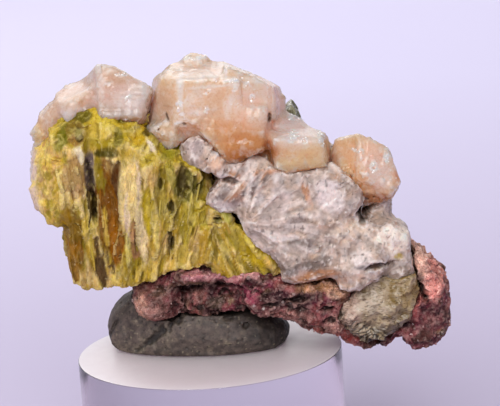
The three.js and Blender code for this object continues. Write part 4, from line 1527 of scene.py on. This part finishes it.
@dataclass(kw_only=True)
class WhiteQuartz(DressedSolid):
    """The broken, milky quartz between the columns and the rock."""

    node: str = "white_quartz"
    name: str = "milky_quartz"
    slot: str = "quartz"
    seed: int = 500
    voxel: float = 0.19
    closed: float = 0.45
    smooth: int = 10

    # The ribs spread from this place, and the rusty streaks fill an oval: X, Z, half width and height.
    fan_foot: tuple[float, float] = (6.2, 45.4)
    rust_zone: tuple[float, float, float, float] = (5.4, 51.8, 4.4, 3.0)

    patches: ClassVar[list[Patch]] = [
        Patch(3.1, 54.4, 1.5, 1.4, "#f6d2b8", 1.0),
        Patch(0.2, 56.2, 1.6, 1.4, "#b5a5a6", 0.7),
        Patch(-0.8, 54.6, 1.0, 1.2, "#a49492", 0.7),
        Patch(4.4, 52.6, 0.5, 3.4, "#8a4f2c", 0.85, 0.9),
        Patch(5.6, 51.6, 0.4, 3.2, "#a4623a", 0.85, 0.9),
        Patch(3.2, 51.8, 0.4, 2.8, "#6b4a3c", 0.8, 0.9),
        Patch(6.8, 51.2, 0.35, 2.8, "#e6d4c8", 0.8, 0.8),
        Patch(6.8, 53.6, 0.8, 1.2, "#a8683c", 0.85),
        Patch(9.6, 52.6, 3.0, 0.5, "#d8925a", 0.7),
        Patch(7.2, 49.4, 2.2, 1.4, "#d9c8c2", 0.6),
        Patch(3.5, 48.6, 1.8, 1.2, "#b6a6a8", 0.8),
        Patch(11.2, 48.6, 2.6, 2.2, "#cbb9b6", 0.6),
        Patch(15.2, 49.2, 0.6, 1.8, "#c98a55", 0.8, -0.3),
        Patch(18.0, 48.6, 1.8, 2.6, "#eee2e2", 0.85, -0.2),
        Patch(9.0, 44.6, 2.2, 3.2, "#d4c2ba", 0.6),
        Patch(13.8, 45.4, 2.2, 1.6, "#9c8d8a", 0.7, 0.4),
        Patch(11.8, 43.2, 3.0, 0.6, "#efe4e2", 0.85, -0.5),
        Patch(12.8, 42.4, 1.0, 0.6, "#6b5d58", 0.85, 0.3),
        Patch(14.6, 42.2, 1.6, 1.0, "#8b7d79", 0.8),
        Patch(11.2, 41.4, 3.2, 1.2, "#cabcb6", 0.7),
        Patch(11.6, 38.6, 1.6, 0.9, "#8c786a", 0.8),
        Patch(14.0, 38.6, 2.8, 1.1, "#70625a", 0.8),
        Patch(17.0, 39.6, 1.6, 0.9, "#7a6c64", 0.75),
        Patch(17.0, 37.2, 4.4, 1.2, "#c08a5c", 0.9),
        Patch(20.8, 43.6, 2.8, 1.8, "#ecd6c0", 0.7),
        Patch(22.2, 39.6, 2.4, 1.2, "#e8dedd", 0.8),
        Patch(19.6, 37.2, 1.4, 1.2, "#a39896", 0.7),
        Patch(27.0, 41.2, 2.2, 2.6, "#fff0e6", 0.95),
        Patch(27.6, 39.0, 0.6, 0.6, "#c4aa3e", 0.85),
        Patch(26.6, 37.0, 2.2, 1.4, "#a08f80", 0.8),
        # Painted shade in the dark hollow at the right.
        Patch(23.2, 45.4, 1.2, 1.0, "#3e2617", 0.9),
        Patch(26.2, 45.8, 1.8, 1.4, "#c2ad9c", 0.6),
        Patch(27.6, 47.9, 1.0, 0.8, "#d8cfc4", 0.8),
        # Painted shadow under the white lobe at the lower right.
        Patch(24.0, 38.3, 2.4, 0.35, "#3c2a1e", 0.8, -0.1),
    ]

    hollows: ClassVar[list[Hollow]] = [
        Hollow(23.2, 45.6, 1.0, 1.5, 2.6, 0.2),
        Hollow(4.6, 51.6, 1.2, 0.5, 0.7, -0.9),
        Hollow(24.4, 38.2, 2.2, 0.5, 1.1, 0.4),
    ]

    def shape(self, skin: Surface) -> None:
        """Breaks the skin into ledges and smaller breaks, with fine ribs that spread like a fan.

        Args:
            skin: The piece's skin.
        """
        move_join(skin)
        skin.push(0.3 * smooth_step(np.abs(skin.normals()[:, 2]), 0.2, 0.7) - 0.12)
        self.ledge = skin.break_up(2.6, 0.14, 0.14, self.seed + 1, 0.6)
        self.fanned = self.fan_share(skin.points)
        self.fan = self.radiating(skin.points)
        skin.push(0.04 * self.fan * self.fanned)
        open_skin = 1 - 0.6 * self.fanned
        self.chip = skin.break_up(1.2, 0.26, 0.08, self.seed + 2, 0.65 * open_skin)
        sugar = smooth_step(soft_noise(skin.points, 2.5, self.seed + 3), -0.2, 0.4)
        skin.break_up(0.55, 0.5, 0.07, self.seed + 4, 0.7 * sugar)
        self.sunk = skin.bore(self.hollows, self.seed + 5)

    def fan_share(self, points: Array) -> Array:
        """Finds how much of the fan's ribs each point has.

        Args:
            points: The points to look at.
        Returns:
            A share for each point.
        """
        across, up = points[:, 0] - self.fan_foot[0], points[:, 2] - self.fan_foot[1]
        reach = np.hypot(across, up)
        ragged = 2.0 * soft_noise(points, 2.2, self.seed + 32)
        near = smooth_step(reach + ragged, 11.5, 8.5) * smooth_step(reach, 0.2, 1.0)
        return near * smooth_step(across, -1.0, 0.6) * smooth_step(points[:, 1], -2.0, -5.0)

    def stain(self, tint: Array, points: Array) -> Array:
        """Runs rusty, white and grey streaks up to the right through the upper left end.

        Args:
            tint: A linear colour for each point.
            points: The points themselves.
        Returns:
            The new colours.
        """
        x, z, wide, high = self.rust_zone
        across = 0.74 * points[:, 0] - 0.67 * points[:, 2]
        along = 0.67 * points[:, 0] + 0.74 * points[:, 2]
        places = np.stack([across, 0.2 * along, 0.2 * points[:, 1]], axis=1)
        streaks = mottled(places, ["#9a5a30", "#e6d6ca", "#84726a", "#c08a5c", "#5e4236", "#d6c4bc"], 0.6,
                          self.seed + 60, 8.0)
        radius = np.hypot((points[:, 0] - x) / wide, (points[:, 2] - z) / high)
        radius += 0.3 * soft_noise(points, 1.5, self.seed + 66)
        return blend(tint, streaks, 0.85 * smooth_step(radius, 1.1, 0.7) * smooth_step(points[:, 1], 0, -3))

    def radiating(self, points: Array) -> Array:
        """Reads streaks that spread from the lower left.

        Args:
            points: The points to look at.
        Returns:
            A number for each point, mostly from -1 to 1.
        """
        across, up = points[:, 0] - self.fan_foot[0], points[:, 2] - self.fan_foot[1]
        angle = np.arctan2(up, across)
        places = np.stack([angle * 9, np.hypot(across, up) * 0.3, 0.1 * points[:, 1]], axis=1)
        return rough_noise(places, 1.0, self.seed + 30)

    def dress(self, skin: Surface) -> None:
        """Colours the quartz: grey-mauve ledges, radiating white veins, rusty cracks and specks, with
        painted highlights on ridges and painted shade in creases and hollows.

        Args:
            skin: The piece's skin.
        """
        points = skin.points
        rough = rough_noise(points, 2.0, self.seed + 20)
        tint = palette(["#cdb8ac", "#b4a298", "#dfccc2", "#d2b8a2", "#beaca2"], self.ledge)
        chips = palette(["#d6c1b4", "#ac9a90", "#ead8d0", "#c4aa98"], self.chip)
        tint = blend(tint, chips, 0.45 * (1 - self.fanned))
        clouds = mottled(points, ["#ccb4a4", "#94867e", "#e6d8d0", "#cbaa8c", "#82766e"], 1.3,
                         self.seed + 40, 6.0)
        tint = blend(tint, clouds, np.full(len(points), 0.5))
        tint = paint_patches(tint, self.patches, points, rough, 1.0)
        tint = self.stain(tint, points)
        tint = tinted(tint, "#f0e6e2", 0.6 * self.fanned * smooth_step(self.fan, 0.15, 0.7))
        tint = tinted(tint, "#94867e", 0.5 * self.fanned * smooth_step(self.fan, -0.1, -0.7))
        ridges = skin.ridges(7)
        # Painted highlight on ridges and painted shade in creases.
        tint = tinted(tint, "#f4ecea", 0.6 * smooth_step(ridges, 0.03, 0.12))
        tint = tinted(tint, "#7c5c46", 0.6 * smooth_step(ridges, -0.05, -0.2))
        grit = rough_noise(points, 0.5, self.seed + 25)
        tint = tint * (1 + 0.22 * grit)[:, None]
        rusty = smooth_step(soft_noise(points, 1.6, self.seed + 26), 0.3, 0.7) * smooth_step(grit, 0.0, 0.6)
        tint = tinted(tint, "#b07850", 0.35 * rusty)
        specks = smooth_step(soft_noise(points, 0.4, self.seed + 27), 0.6, 0.75)
        tint = tinted(tint, "#4d3a32", 0.6 * specks)
        tint = tint * [1.02, 0.98, 0.93]
        # Painted shade in the hollows.
        skin.paint(tinted(tint, "#4a3226", 0.7 * self.sunk))


@dataclass(kw_only=True)
class OliveInclusion(DressedSolid):
    """The glassy olive crystal set in the rock at the lower right."""

    node: str = "olive_inclusion"
    name: str = "olive_crystal"
    slot: str = "olive_crystal"
    seed: int = 600
    voxel: float = 0.15
    closed: float = 0.5
    layer: float = 0.75
    middle: tuple[float, float] = (23.0, 28.6)

    def shape(self, skin: Surface) -> None:
        """Breaks the skin into ledges, with thin layers across the lower half.

        Args:
            skin: The piece's skin.
        """
        skin.push(0.1)
        points = skin.points
        self.ledge = skin.break_up(2.2, 0.6, 0.3, self.seed, 0.95)
        across, up = points[:, 0] - self.middle[0], points[:, 2] - self.middle[1]
        depth = up + 0.35 * np.abs(across) + 0.8 * rough_noise(points, 1.8, self.seed + 1)
        self.layers = np.sin(depth * 2 * math.pi / self.layer)
        self.layered = smooth_step(up + 0.5 * across, 1.6, 0.0)
        skin.push(0.1 * self.layers * self.layered)
        self.chip = skin.break_up(0.9, 0.5, 0.08, self.seed + 2, 0.5 * (1 - 0.6 * self.layered))

    def dress(self, skin: Surface) -> None:
        """Colours the crystal: olive and golden above, striped and dark below, pink at the left.

        Args:
            skin: The piece's skin.
        """
        points = skin.points
        x, z = points[:, 0], points[:, 2]
        rough = rough_noise(points, 1.4, self.seed + 20)
        tint = palette(["#86704e", "#a8937c", "#544028", "#c4b4a6", "#94805c"], self.ledge)
        chips = palette(["#7c6642", "#c8b498", "#3a2a18", "#b4a394", "#6e5a30"], self.chip)
        tint = blend(tint, chips, np.full(len(points), 0.5))
        pale = smooth_step(z - 0.25 * x, 24.4, 26.4) * smooth_step(rough, -0.3, 0.4)
        tint = tinted(tint, "#d8c8bc", 0.7 * pale)
        pink = smooth_step(x + 0.6 * rough, 22.2, 20.6) * smooth_step(z, 28.5, 30)
        tint = tinted(tint, "#c8a8a0", 0.7 * pink)
        stripes = smooth_step(self.layers + 0.5 * rough, 0.2, -0.5) * self.layered
        tint = tinted(tint, "#231c12", 0.9 * stripes)
        gold = smooth_step(z + 0.8 * rough, 31.0, 33.0) * smooth_step(x, 23.5, 26.5)
        tint = tinted(tint, "#94762e", 0.55 * gold)
        deep = smooth_step(z + 0.8 * rough, 30.6, 28.8) * smooth_step(self.chip, 0.2, 0.6)
        tint = tinted(tint, "#3c2c1a", 0.7 * deep)
        skin.paint(0.85 * tint * [1.0, 0.97, 0.85])


@dataclass(kw_only=True)
class RedRock(DressedSolid):
    """The granular red rock that everything grew on, with its loose grains.

    The numbers that begin with loose are for those grains: how many, how wide, and how much of the
    width is sunk. The specks of colour on the rock itself are as wide as speck.
    """

    node: str = "red_rock"
    name: str = "red_rock_bed"
    slot: str = "red_rock"
    seed: int = 700
    voxel: float = 0.24
    closed: float = 0.6
    speck: float = 0.3
    loose_grains: int = 2000
    loose_width: tuple[float, float] = (0.22, 0.55)
    loose_sunk: float = 0.12

    patches: ClassVar[list[Patch]] = [
        Patch(2.6, 38.0, 8.0, 0.8, "#c07c80", 0.9),
        Patch(-7.0, 34.2, 3.2, 3.2, "#7c5248", 0.85),
        Patch(-9.6, 33.2, 1.3, 2.0, "#c08e74", 0.9),
        Patch(-6.6, 35.6, 1.8, 1.0, "#4a3018", 0.85),
        Patch(-7.2, 32.6, 1.4, 0.9, "#a4786c", 0.8),
        Patch(-4.4, 33.4, 1.2, 2.6, "#5c2c2c", 0.85),
        Patch(-1.6, 36.4, 3.0, 1.0, "#4c3a1c", 0.8),
        Patch(-1.0, 34.4, 1.4, 1.4, "#a06a5c", 0.7),
        Patch(1.6, 33.2, 1.8, 1.2, "#3a3020", 0.85),
        Patch(3.6, 33.0, 0.7, 0.6, "#a8956c", 0.8),
        Patch(3.6, 35.4, 1.4, 1.2, "#a45a62", 0.8),
        Patch(6.4, 35.2, 2.0, 1.5, "#8a3048", 0.9),
        Patch(8.8, 34.6, 0.9, 1.2, "#4c3e1c", 0.85),
        Patch(11.0, 34.8, 1.4, 1.2, "#7a2434", 0.85),
        Patch(10.8, 34.0, 2.6, 1.7, "#2a0a14", 0.95),
        Patch(13.4, 33.4, 2.8, 1.5, "#2a1016", 0.95),
        Patch(15.6, 32.6, 1.6, 0.9, "#7a2c30", 0.8),
        Patch(16.2, 35.6, 3.6, 1.0, "#d29a66", 0.95),
        Patch(18.8, 34.6, 2.2, 1.0, "#dfb08a", 0.9),
        Patch(12.6, 31.0, 3.0, 1.2, "#8e5c54", 0.8),
        Patch(17.6, 29.6, 2.2, 1.8, "#a2766a", 0.8),
        Patch(19.0, 27.4, 1.2, 1.0, "#8a3c34", 0.8),
        Patch(31.2, 38.6, 2.6, 4.2, "#ffc8ae", 1.0),
        Patch(32.6, 34.4, 1.8, 2.6, "#f89c8c", 0.95),
        Patch(30.2, 33.4, 0.5, 3.0, "#6a3020", 0.85, -0.3),
        Patch(29.6, 31.0, 0.9, 3.0, "#b04a44", 0.9),
        Patch(31.8, 28.6, 3.0, 3.0, "#643436", 0.9),
        Patch(30.6, 26.0, 1.8, 1.2, "#42241c", 0.9),
        Patch(33.2, 26.4, 1.0, 0.8, "#6a6030", 0.7),
        Patch(28.9, 41.2, 0.9, 1.4, "#8a4a2c", 0.9),
        Patch(22.0, 26.6, 3.4, 0.7, "#8c3830", 0.85),
    ]

    hollows: ClassVar[list[Hollow]] = [
        Hollow(28.9, 41.0, 0.35, 1.2, 1.2, -0.5),
        Hollow(30.6, 33.4, 0.45, 1.6, 1.3, -0.35),
        Hollow(-2.2, 35.4, 2.2, 0.8, 1.2),
        Hollow(3.0, 35.6, 1.6, 0.5, 1.0),
        Hollow(12.6, 33.8, 2.0, 0.35, 0.9, -0.3),
        Hollow(17.0, 32.2, 1.6, 0.3, 0.8),
        Hollow(9.0, 33.0, 1.2, 0.3, 0.8),
    ]

    def shape(self, skin: Surface) -> None:
        """Breaks the skin into lumps, then grains, with crevices between.

        Args:
            skin: The piece's skin.
        """
        skin.push(-0.1)
        skin.swell(4.0, 0.4, self.seed)
        calm = smooth_step(skin.points[:, 0], -3.5, -5.5)
        skin.break_up(2.6, 0.55, 0.35, self.seed + 1, 0.8 * (1 - 0.7 * calm))
        skin.break_up(1.2, 0.45, 0.16, self.seed + 2, 0.65 * (1 - 0.6 * calm))
        self.grain = skin.break_up(0.5, 0.5, 0.08, self.seed + 3, 0.7 * (1 - 0.3 * calm))
        flank = smooth_step(skin.points[:, 0], 27.5, 29.5)
        self.pitted = smooth_step(rough_noise(skin.points, 1.5, self.seed + 5), 0.2, 0.55)
        self.pitted *= (1 - 0.5 * calm) * (1 - 0.7 * flank)
        skin.push(-0.45 * self.pitted)
        self.sunk = skin.bore(self.hollows, self.seed + 4)

    def dress(self, skin: Surface) -> None:
        """Colours the rock zone by zone, then grain by grain.

        Args:
            skin: The piece's skin.
        """
        points = skin.points
        rough = rough_noise(points, 1.8, self.seed + 20)
        tint = mottled(points, ["#481a22", "#6c2436", "#7c3c36", "#2e1216", "#8c4c4c", "#503020"], 1.5,
                       self.seed + 40, 9.0)
        tint = paint_patches(tint, self.patches, points, rough, 4.0)
        pale = np.clip(tint.mean(axis=1) / 0.3, 0.15, 1.2)
        grains = palette(["#d8a69a", "#4c2022", "#e8cabe", "#5c2a2e", "#a8706a", "#38181a"],
                         hashed(np.floor(points / self.speck), 9))
        tint = blend(tint, grains, 0.3 * pale)
        mottle = rough_noise(points, 0.8, self.seed + 24)
        tint = tint * np.clip(1 + 0.6 * mottle, 0.3, 1.7)[:, None]
        back = smooth_step(points[:, 1] + rough, 4.0, 7.0)
        tint = blend(tint, palette(["#9d7268", "#875a50", "#b08a7c"], self.grain), 0.6 * back)
        ridges = skin.ridges(6)
        # Painted shade in crevices and painted highlight on ridges.
        tint = tinted(tint, "#2c1412", 0.8 * smooth_step(ridges, -0.03, -0.22))
        tint = tinted(tint, "#e0b0a0", 0.3 * smooth_step(ridges, 0.06, 0.25))
        # Painted shade in the hollows and pits.
        self.tint = tinted(tint, "#1d0f0c", np.maximum(0.9 * self.sunk, 0.7 * self.pitted))
        skin.paint(self.tint)

    def build_grains(self, material: Material) -> Piece:
        """Scatters loose grains over the rock.

        Args:
            material: The grains' material.
        Returns:
            The finished piece.
        """
        rng = np.random.default_rng(self.seed)
        points = self.skin.points
        normals = self.skin.normals()
        chosen = rng.choice(np.flatnonzero(self.sunk < 0.3), self.loose_grains, replace=False)
        count = len(chosen)
        width = rng.uniform(*self.loose_width, count)
        sizes = width[:, None] * rng.uniform(0.7, 1.3, (count, 3))
        up = normals[chosen] + rng.normal(0, 0.5, (count, 3))
        axes = turned_axes(up, rng.uniform(0, 2 * math.pi, count))
        spots = points[chosen] - normals[chosen] * (self.loose_sunk * width)[:, None]
        colours = palette(["#d9a89a", "#b5746a", "#8a4648", "#e8d3c8", "#9c5c58", "#c78c7a", "#6f5a30"],
                          rng.uniform(0, 1, count))
        tint = blend(self.tint[chosen], colours, np.full(count, 0.18))
        piece = Copies("red_rock_grains", seed_grain(), spots, axes, sizes, tint).build()
        return hand_over(piece, [material], self.slot)


@dataclass(kw_only=True)
class GreenTip(DressedSolid):
    """The small grey-green crystal behind the calcite."""

    node: str = "green_crystal_tip"
    name: str = "green_point"
    slot: str = "grey_green_crystal"
    seed: int = 800
    voxel: float = 0.16

    def shape(self, skin: Surface) -> None:
        """Gives the skin soft waves and flat facets.

        Args:
            skin: The piece's skin.
        """
        skin.push(0.08)
        skin.swell(2.0, 0.12, self.seed)
        self.facet = skin.break_up(1.5, 0.12, 0.1, self.seed + 1, 0.8)

    def dress(self, skin: Surface) -> None:
        """Colours the crystal facet by facet, with pale clouds.

        Args:
            skin: The piece's skin.
        """
        rough = rough_noise(skin.points, 1.5, self.seed + 2)
        tint = palette(["#7c7a58", "#6a6644", "#94906e"], self.facet)
        skin.paint(tinted(tint, "#c6b9a0", 0.5 * smooth_step(rough, 0.1, 0.8)))


@dataclass(kw_only=True)
class PuttyLump(DressedSolid):
    """The rolled lump of mineral putty that holds the specimen.

    Its relief fades out down to the height foot, and its crack runs from one place to another in X and
    Z.
    """

    node: str = "putty"
    name: str = "putty_lump"
    slot: str = "putty"
    seed: int = 900
    voxel: float = 0.17
    smooth: int = 6
    sharp: float = 60.0
    floor: float = 25.02
    foot: float = 25.1
    pit: float = 0.62
    crack_from: tuple[float, float] = (-10.6, 25.6)
    crack_to: tuple[float, float] = (-3.8, 31.0)

    imprints: ClassVar[list[Hollow]] = [
        Hollow(-3.6, 31.6, 1.2, 0.4, 0.5, 0.2),
        Hollow(3.2, 30.4, 1.1, 0.45, 0.7, 0.3),
        Hollow(5.4, 29.2, 0.5, 0.4, 0.8),
        Hollow(-13.4, 29.2, 0.35, 2.2, 0.4, 0.5),
    ]

    def shape(self, skin: Surface) -> None:
        """Rolls, dents and pits the putty.

        Args:
            skin: The piece's skin.
        """
        points = skin.points
        free = smooth_step(points[:, 2], self.foot, self.foot + 0.8)
        skin.swell(5.0, 0.25, self.seed, free)
        skin.swell(1.8, 0.1, self.seed + 1, free)
        skin.swell(0.6, 0.03, self.seed + 2, free)
        nearest, cell = nearest_cells(points / self.pit, self.seed + 3)
        rare = (hashed(cell, self.seed + 4) > 0.6).astype(float)
        pits = smooth_step(nearest, 0.34, 0.1) * rare
        crack = self.crack_at(points)
        skin.push(-(0.22 * pits + 0.55 * crack) * free)
        dents = skin.bore(self.imprints, self.seed + 5)
        self.sunk = np.maximum.reduce([0.8 * pits, crack, 0.8 * dents])

    def dress(self, skin: Surface) -> None:
        """Colours the putty: grey-brown and gritty, with painted shade in its pits, crack and dents, and a
        painted shadow at the right.

        Args:
            skin: The piece's skin.
        """
        points = skin.points
        rough = rough_noise(points, 1.2, self.seed + 20)
        tint = np.tile(linear("#4a3e38"), (len(points), 1))
        tint = tinted(tint, "#66594c", 0.6 * smooth_step(rough, 0.0, 0.8))
        tint = tinted(tint, "#483c35", 0.6 * smooth_step(rough, -0.1, -0.8))
        # Painted shadow: the putty is darkened towards its right end and upper right, under the overhang of
        # the specimen.
        right = smooth_step(points[:, 0] + 0.5 * (points[:, 2] - 28), 2.0, 9.0)
        grit = rough_noise(points, 0.6, self.seed + 22)
        tint = tint * ((1 - 0.65 * right) * (1 + 0.5 * grit))[:, None]
        lip = self.crack_at(points, 1.1) * (1 - self.crack_at(points))
        tint = tinted(tint, "#a89a84", 0.35 * lip)
        specks = smooth_step(soft_noise(points, 0.35, self.seed + 21), 0.6, 0.85)
        tint = tinted(tint, "#b7a98c", 0.35 * specks)
        # Painted shade in the pits, the crack and the dents.
        skin.paint(tinted(tint, "#1c1612", 0.9 * self.sunk))

    def crack_at(self, points: Array, reach: float = 0.7) -> Array:
        """How deep in the slanting, pitted crack each point is, from 0 to 1.

        Args:
            points: The points to look at.
            reach: How far from its middle the crack ends.
        Returns:
            A share for each point.
        """
        start, end = np.array(self.crack_from), np.array(self.crack_to)
        length = np.linalg.norm(end - start)
        way = (end - start) / length
        offset = points[:, [0, 2]] - start
        along = np.clip(offset @ way, 0, length)
        away = np.linalg.norm(offset - along[:, None] * way, axis=1)
        ragged = 0.5 * soft_noise(points, 0.6, self.seed + 6)
        ragged += 0.12 * soft_noise(points, 1.6, self.seed + 7)
        front = smooth_step(points[:, 1], 2.0, 0.0)
        return smooth_step(away + ragged, reach, 0.1) * front


@dataclass
class AcrylicStand:
    """The clear round stand: a length of acrylic rod with a sanded top and a small bevel.

    An edge of the rod belongs to a rim where its ends differ in height by less than level.
    """

    node: str = "acrylic_stand"
    facets: int = 128
    edge: float = 0.15
    level: float = 0.01

    def build(self, side: Material, top: Material) -> Piece:
        """Turns the rod and finishes its faces.

        Args:
            side: The polished material.
            top: The frosted material.
        Returns:
            The finished piece.
        """
        low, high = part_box(self.node)
        radius, height = (high.x - low.x) / 2, high.z - low.z
        bpy.ops.object.select_all(action="DESELECT")
        bpy.ops.mesh.primitive_cylinder_add(
            vertices=self.facets, radius=radius, depth=height, location=(0, 0, height / 2))
        piece = bpy.context.object
        piece.name = "acrylic_rod_stand"
        bpy.ops.object.transform_apply(location=True, rotation=True, scale=True)
        bpy.ops.object.mode_set(mode="EDIT")
        bpy.ops.mesh.select_mode(type="EDGE")
        bpy.ops.mesh.select_all(action="DESELECT")
        bpy.ops.object.mode_set(mode="OBJECT")
        for rim in piece.data.edges:
            ends = [piece.data.vertices[i].co.z for i in rim.vertices]
            rim.select = abs(ends[0] - ends[1]) < self.level * MM
        bpy.ops.object.mode_set(mode="EDIT")
        bpy.ops.mesh.bevel(offset=self.edge * MM, segments=3, profile=0.5)
        bpy.ops.object.mode_set(mode="OBJECT")
        smooth_by_angle(piece, 30)
        hand_over(piece, [side, top], "acrylic", self.node)
        for face in piece.data.polygons:
            face.material_index = 1 if face.normal.z > 0.95 else 0
        return piece


@dataclass
class Studio:
    """The pale floor, the soft lights and the camera.

    The floor has painted shade round the stand, a little darker there: shade_reach gives three distances
    from the middle of that painted shade, at X 0 and Y shade_line, and floor_shades the colour at each.
    """

    distance: float = 400.0
    elevation: float = 13.3
    roll: float = -4.0
    target: tuple[float, float, float] = (7.24, 0.0, 46.3)
    view_width: float = 71.2
    sensor: float = 36.0
    sky: float = 0.34
    key: float = 2.3
    key_place: tuple[float, float, float] = (-90, -330, 300)
    key_angle: float = 45.0
    back: float = 1.5
    back_place: tuple[float, float, float] = (-200, 330, 400)
    back_size: float = 0.5
    front: float = 0.3
    front_place: tuple[float, float, float] = (60, -420, 260)
    front_size: float = 0.08
    low: float = 0.6
    low_place: tuple[float, float, float] = (100, 720, 240)
    low_size: float = 0.4
    floor_size: float = 6000.0
    floor_gap: float = 0.05
    shade_line: float = -50.0
    shade_reach: tuple[float, float, float] = (72.0, 102.0, 380.0)
    floor_shades: tuple[str, str, str] = ("#b3a3b9", "#c3bad1", "#cfcae2")

    def build(self) -> None:
        """Builds the studio."""
        self.add_floor()
        self.add_lights()
        self.add_camera()

    def add_floor(self) -> None:
        """Lays the floor, with painted shade that makes it a little darker round the stand."""
        bpy.ops.object.select_all(action="DESELECT")
        bpy.ops.mesh.primitive_grid_add(
            x_subdivisions=8, y_subdivisions=8, size=self.floor_size * MM,
            location=(0, 0, -self.floor_gap * MM))
        floor = bpy.context.object
        floor.name = "studio_floor"
        material, tree = new_material("pale_lavender_paper")
        places = add_node(tree, "ShaderNodeTexCoord").outputs["Object"]
        middle_point = (0.0, self.shade_line * MM, 0.0)
        away = add_node(tree, "ShaderNodeVectorMath", {"operation": "DISTANCE"}, {
            0: places, 1: middle_point})
        near, middle, far = self.shade_reach
        share = add_node(tree, "ShaderNodeMapRange", inputs={
            "Value": away.outputs["Value"], "From Min": near * MM, "From Max": far * MM})
        colour = add_node(tree, "ShaderNodeValToRGB", inputs={"Fac": share.outputs["Result"]})
        stops = colour.color_ramp.elements
        inner, between, outer = (rgba(code) for code in self.floor_shades)
        stops[0].color = inner
        stops[1].color = outer
        stops.new((middle - near) / (far - near)).color = between
        shader = add_node(tree, "ShaderNodeBsdfPrincipled", inputs={
            "Base Color": colour.outputs["Color"], "Roughness": 0.9, "Specular IOR Level": 0.1})
        add_node(tree, "ShaderNodeOutputMaterial", inputs={"Surface": shader.outputs["BSDF"]})
        floor.data.materials.append(material)

    def add_lights(self) -> None:
        """Sets a soft sky, a wide key from the left, a soft box behind and a small one in front."""
        scene = bpy.context.scene
        scene.view_settings.view_transform = "Standard"
        world = bpy.data.worlds.new("Soft studio")
        world.use_nodes = True
        background = world.node_tree.nodes["Background"]
        background.inputs["Color"].default_value = rgba("#f3effa")
        background.inputs["Strength"].default_value = self.sky
        scene.world = world
        self.add_light("SUN", "wide_key", self.key_place, self.key, angle=math.radians(self.key_angle))
        self.add_light("AREA", "soft_box_behind", self.back_place, self.back, size=self.back_size)
        self.add_light("AREA", "soft_box_front", self.front_place, self.front, size=self.front_size)
        self.add_light("AREA", "soft_box_low", self.low_place, self.low, size=self.low_size)

    def add_light(self, kind: str, name: str, place: tuple[float, float, float], energy: float,
                  **settings) -> None:
        """Adds one light that points at the specimen.

        Args:
            kind: Blender's kind of light.
            name: The light's name.
            place: Where it stands, in millimetres.
            energy: Its strength.
            settings: More attributes of the light.
        """
        light = bpy.data.lights.new(name, kind)
        light.energy = energy
        for key, value in settings.items():
            setattr(light, key, value)
        lamp = bpy.data.objects.new(name, light)
        lamp.location = Vector(place) * MM
        lamp.visible_camera = False
        lamp.visible_transmission = False
        aim = (Vector(self.target) - Vector(place)).to_track_quat("-Z", "Y")
        lamp.rotation_euler = aim.to_euler()
        bpy.context.scene.collection.objects.link(lamp)

    def add_camera(self) -> None:
        """Sets the camera, tilted a little to one side."""
        tilt = math.radians(self.elevation)
        away = Vector((0, -math.cos(tilt), math.sin(tilt))) * self.distance
        data = bpy.data.cameras.new("camera")
        data.sensor_width = self.sensor
        data.lens = self.sensor * self.distance / self.view_width
        data.clip_start = 10 * MM
        camera = bpy.data.objects.new("camera", data)
        camera.location = (Vector(self.target) + away) * MM
        aim = (-away).to_track_quat("-Z", "Y")
        camera.rotation_mode = "QUATERNION"
        camera.rotation_quaternion = aim @ Quaternion((0, 0, 1), math.radians(self.roll))
        bpy.context.scene.collection.objects.link(camera)
        bpy.context.scene.camera = camera


def main() -> None:
    """Builds the studio and every piece of the specimen."""
    logging.basicConfig(level=logging.INFO, format="%(name)s: %(message)s")
    Studio().build()
    calcite = CALCITE.material()
    groups = [MAIN_CALCITE, RIGHT_CALCITE, LEFT_CALCITE]
    for group in groups:
        group.build(calcite)
    CalciteNicks().build(groups, NICKS.material())
    columns = COLUMNS.material()
    mass = ColumnarMass()
    mass.build(columns)
    mass.build_splinters(columns)
    WhiteQuartz().build(QUARTZ.material())
    OliveInclusion().build(OLIVE.material())
    rock = RedRock()
    rock.build(ROCK.material())
    rock.build_grains(GRAINS.material())
    GreenTip().build(GREEN_CRYSTAL.material())
    PuttyLump().build(PUTTY.material())
    AcrylicStand().build(POLISHED_SIDE.material(), FROSTED_TOP.material())


if __name__ == "__main__":
    main()
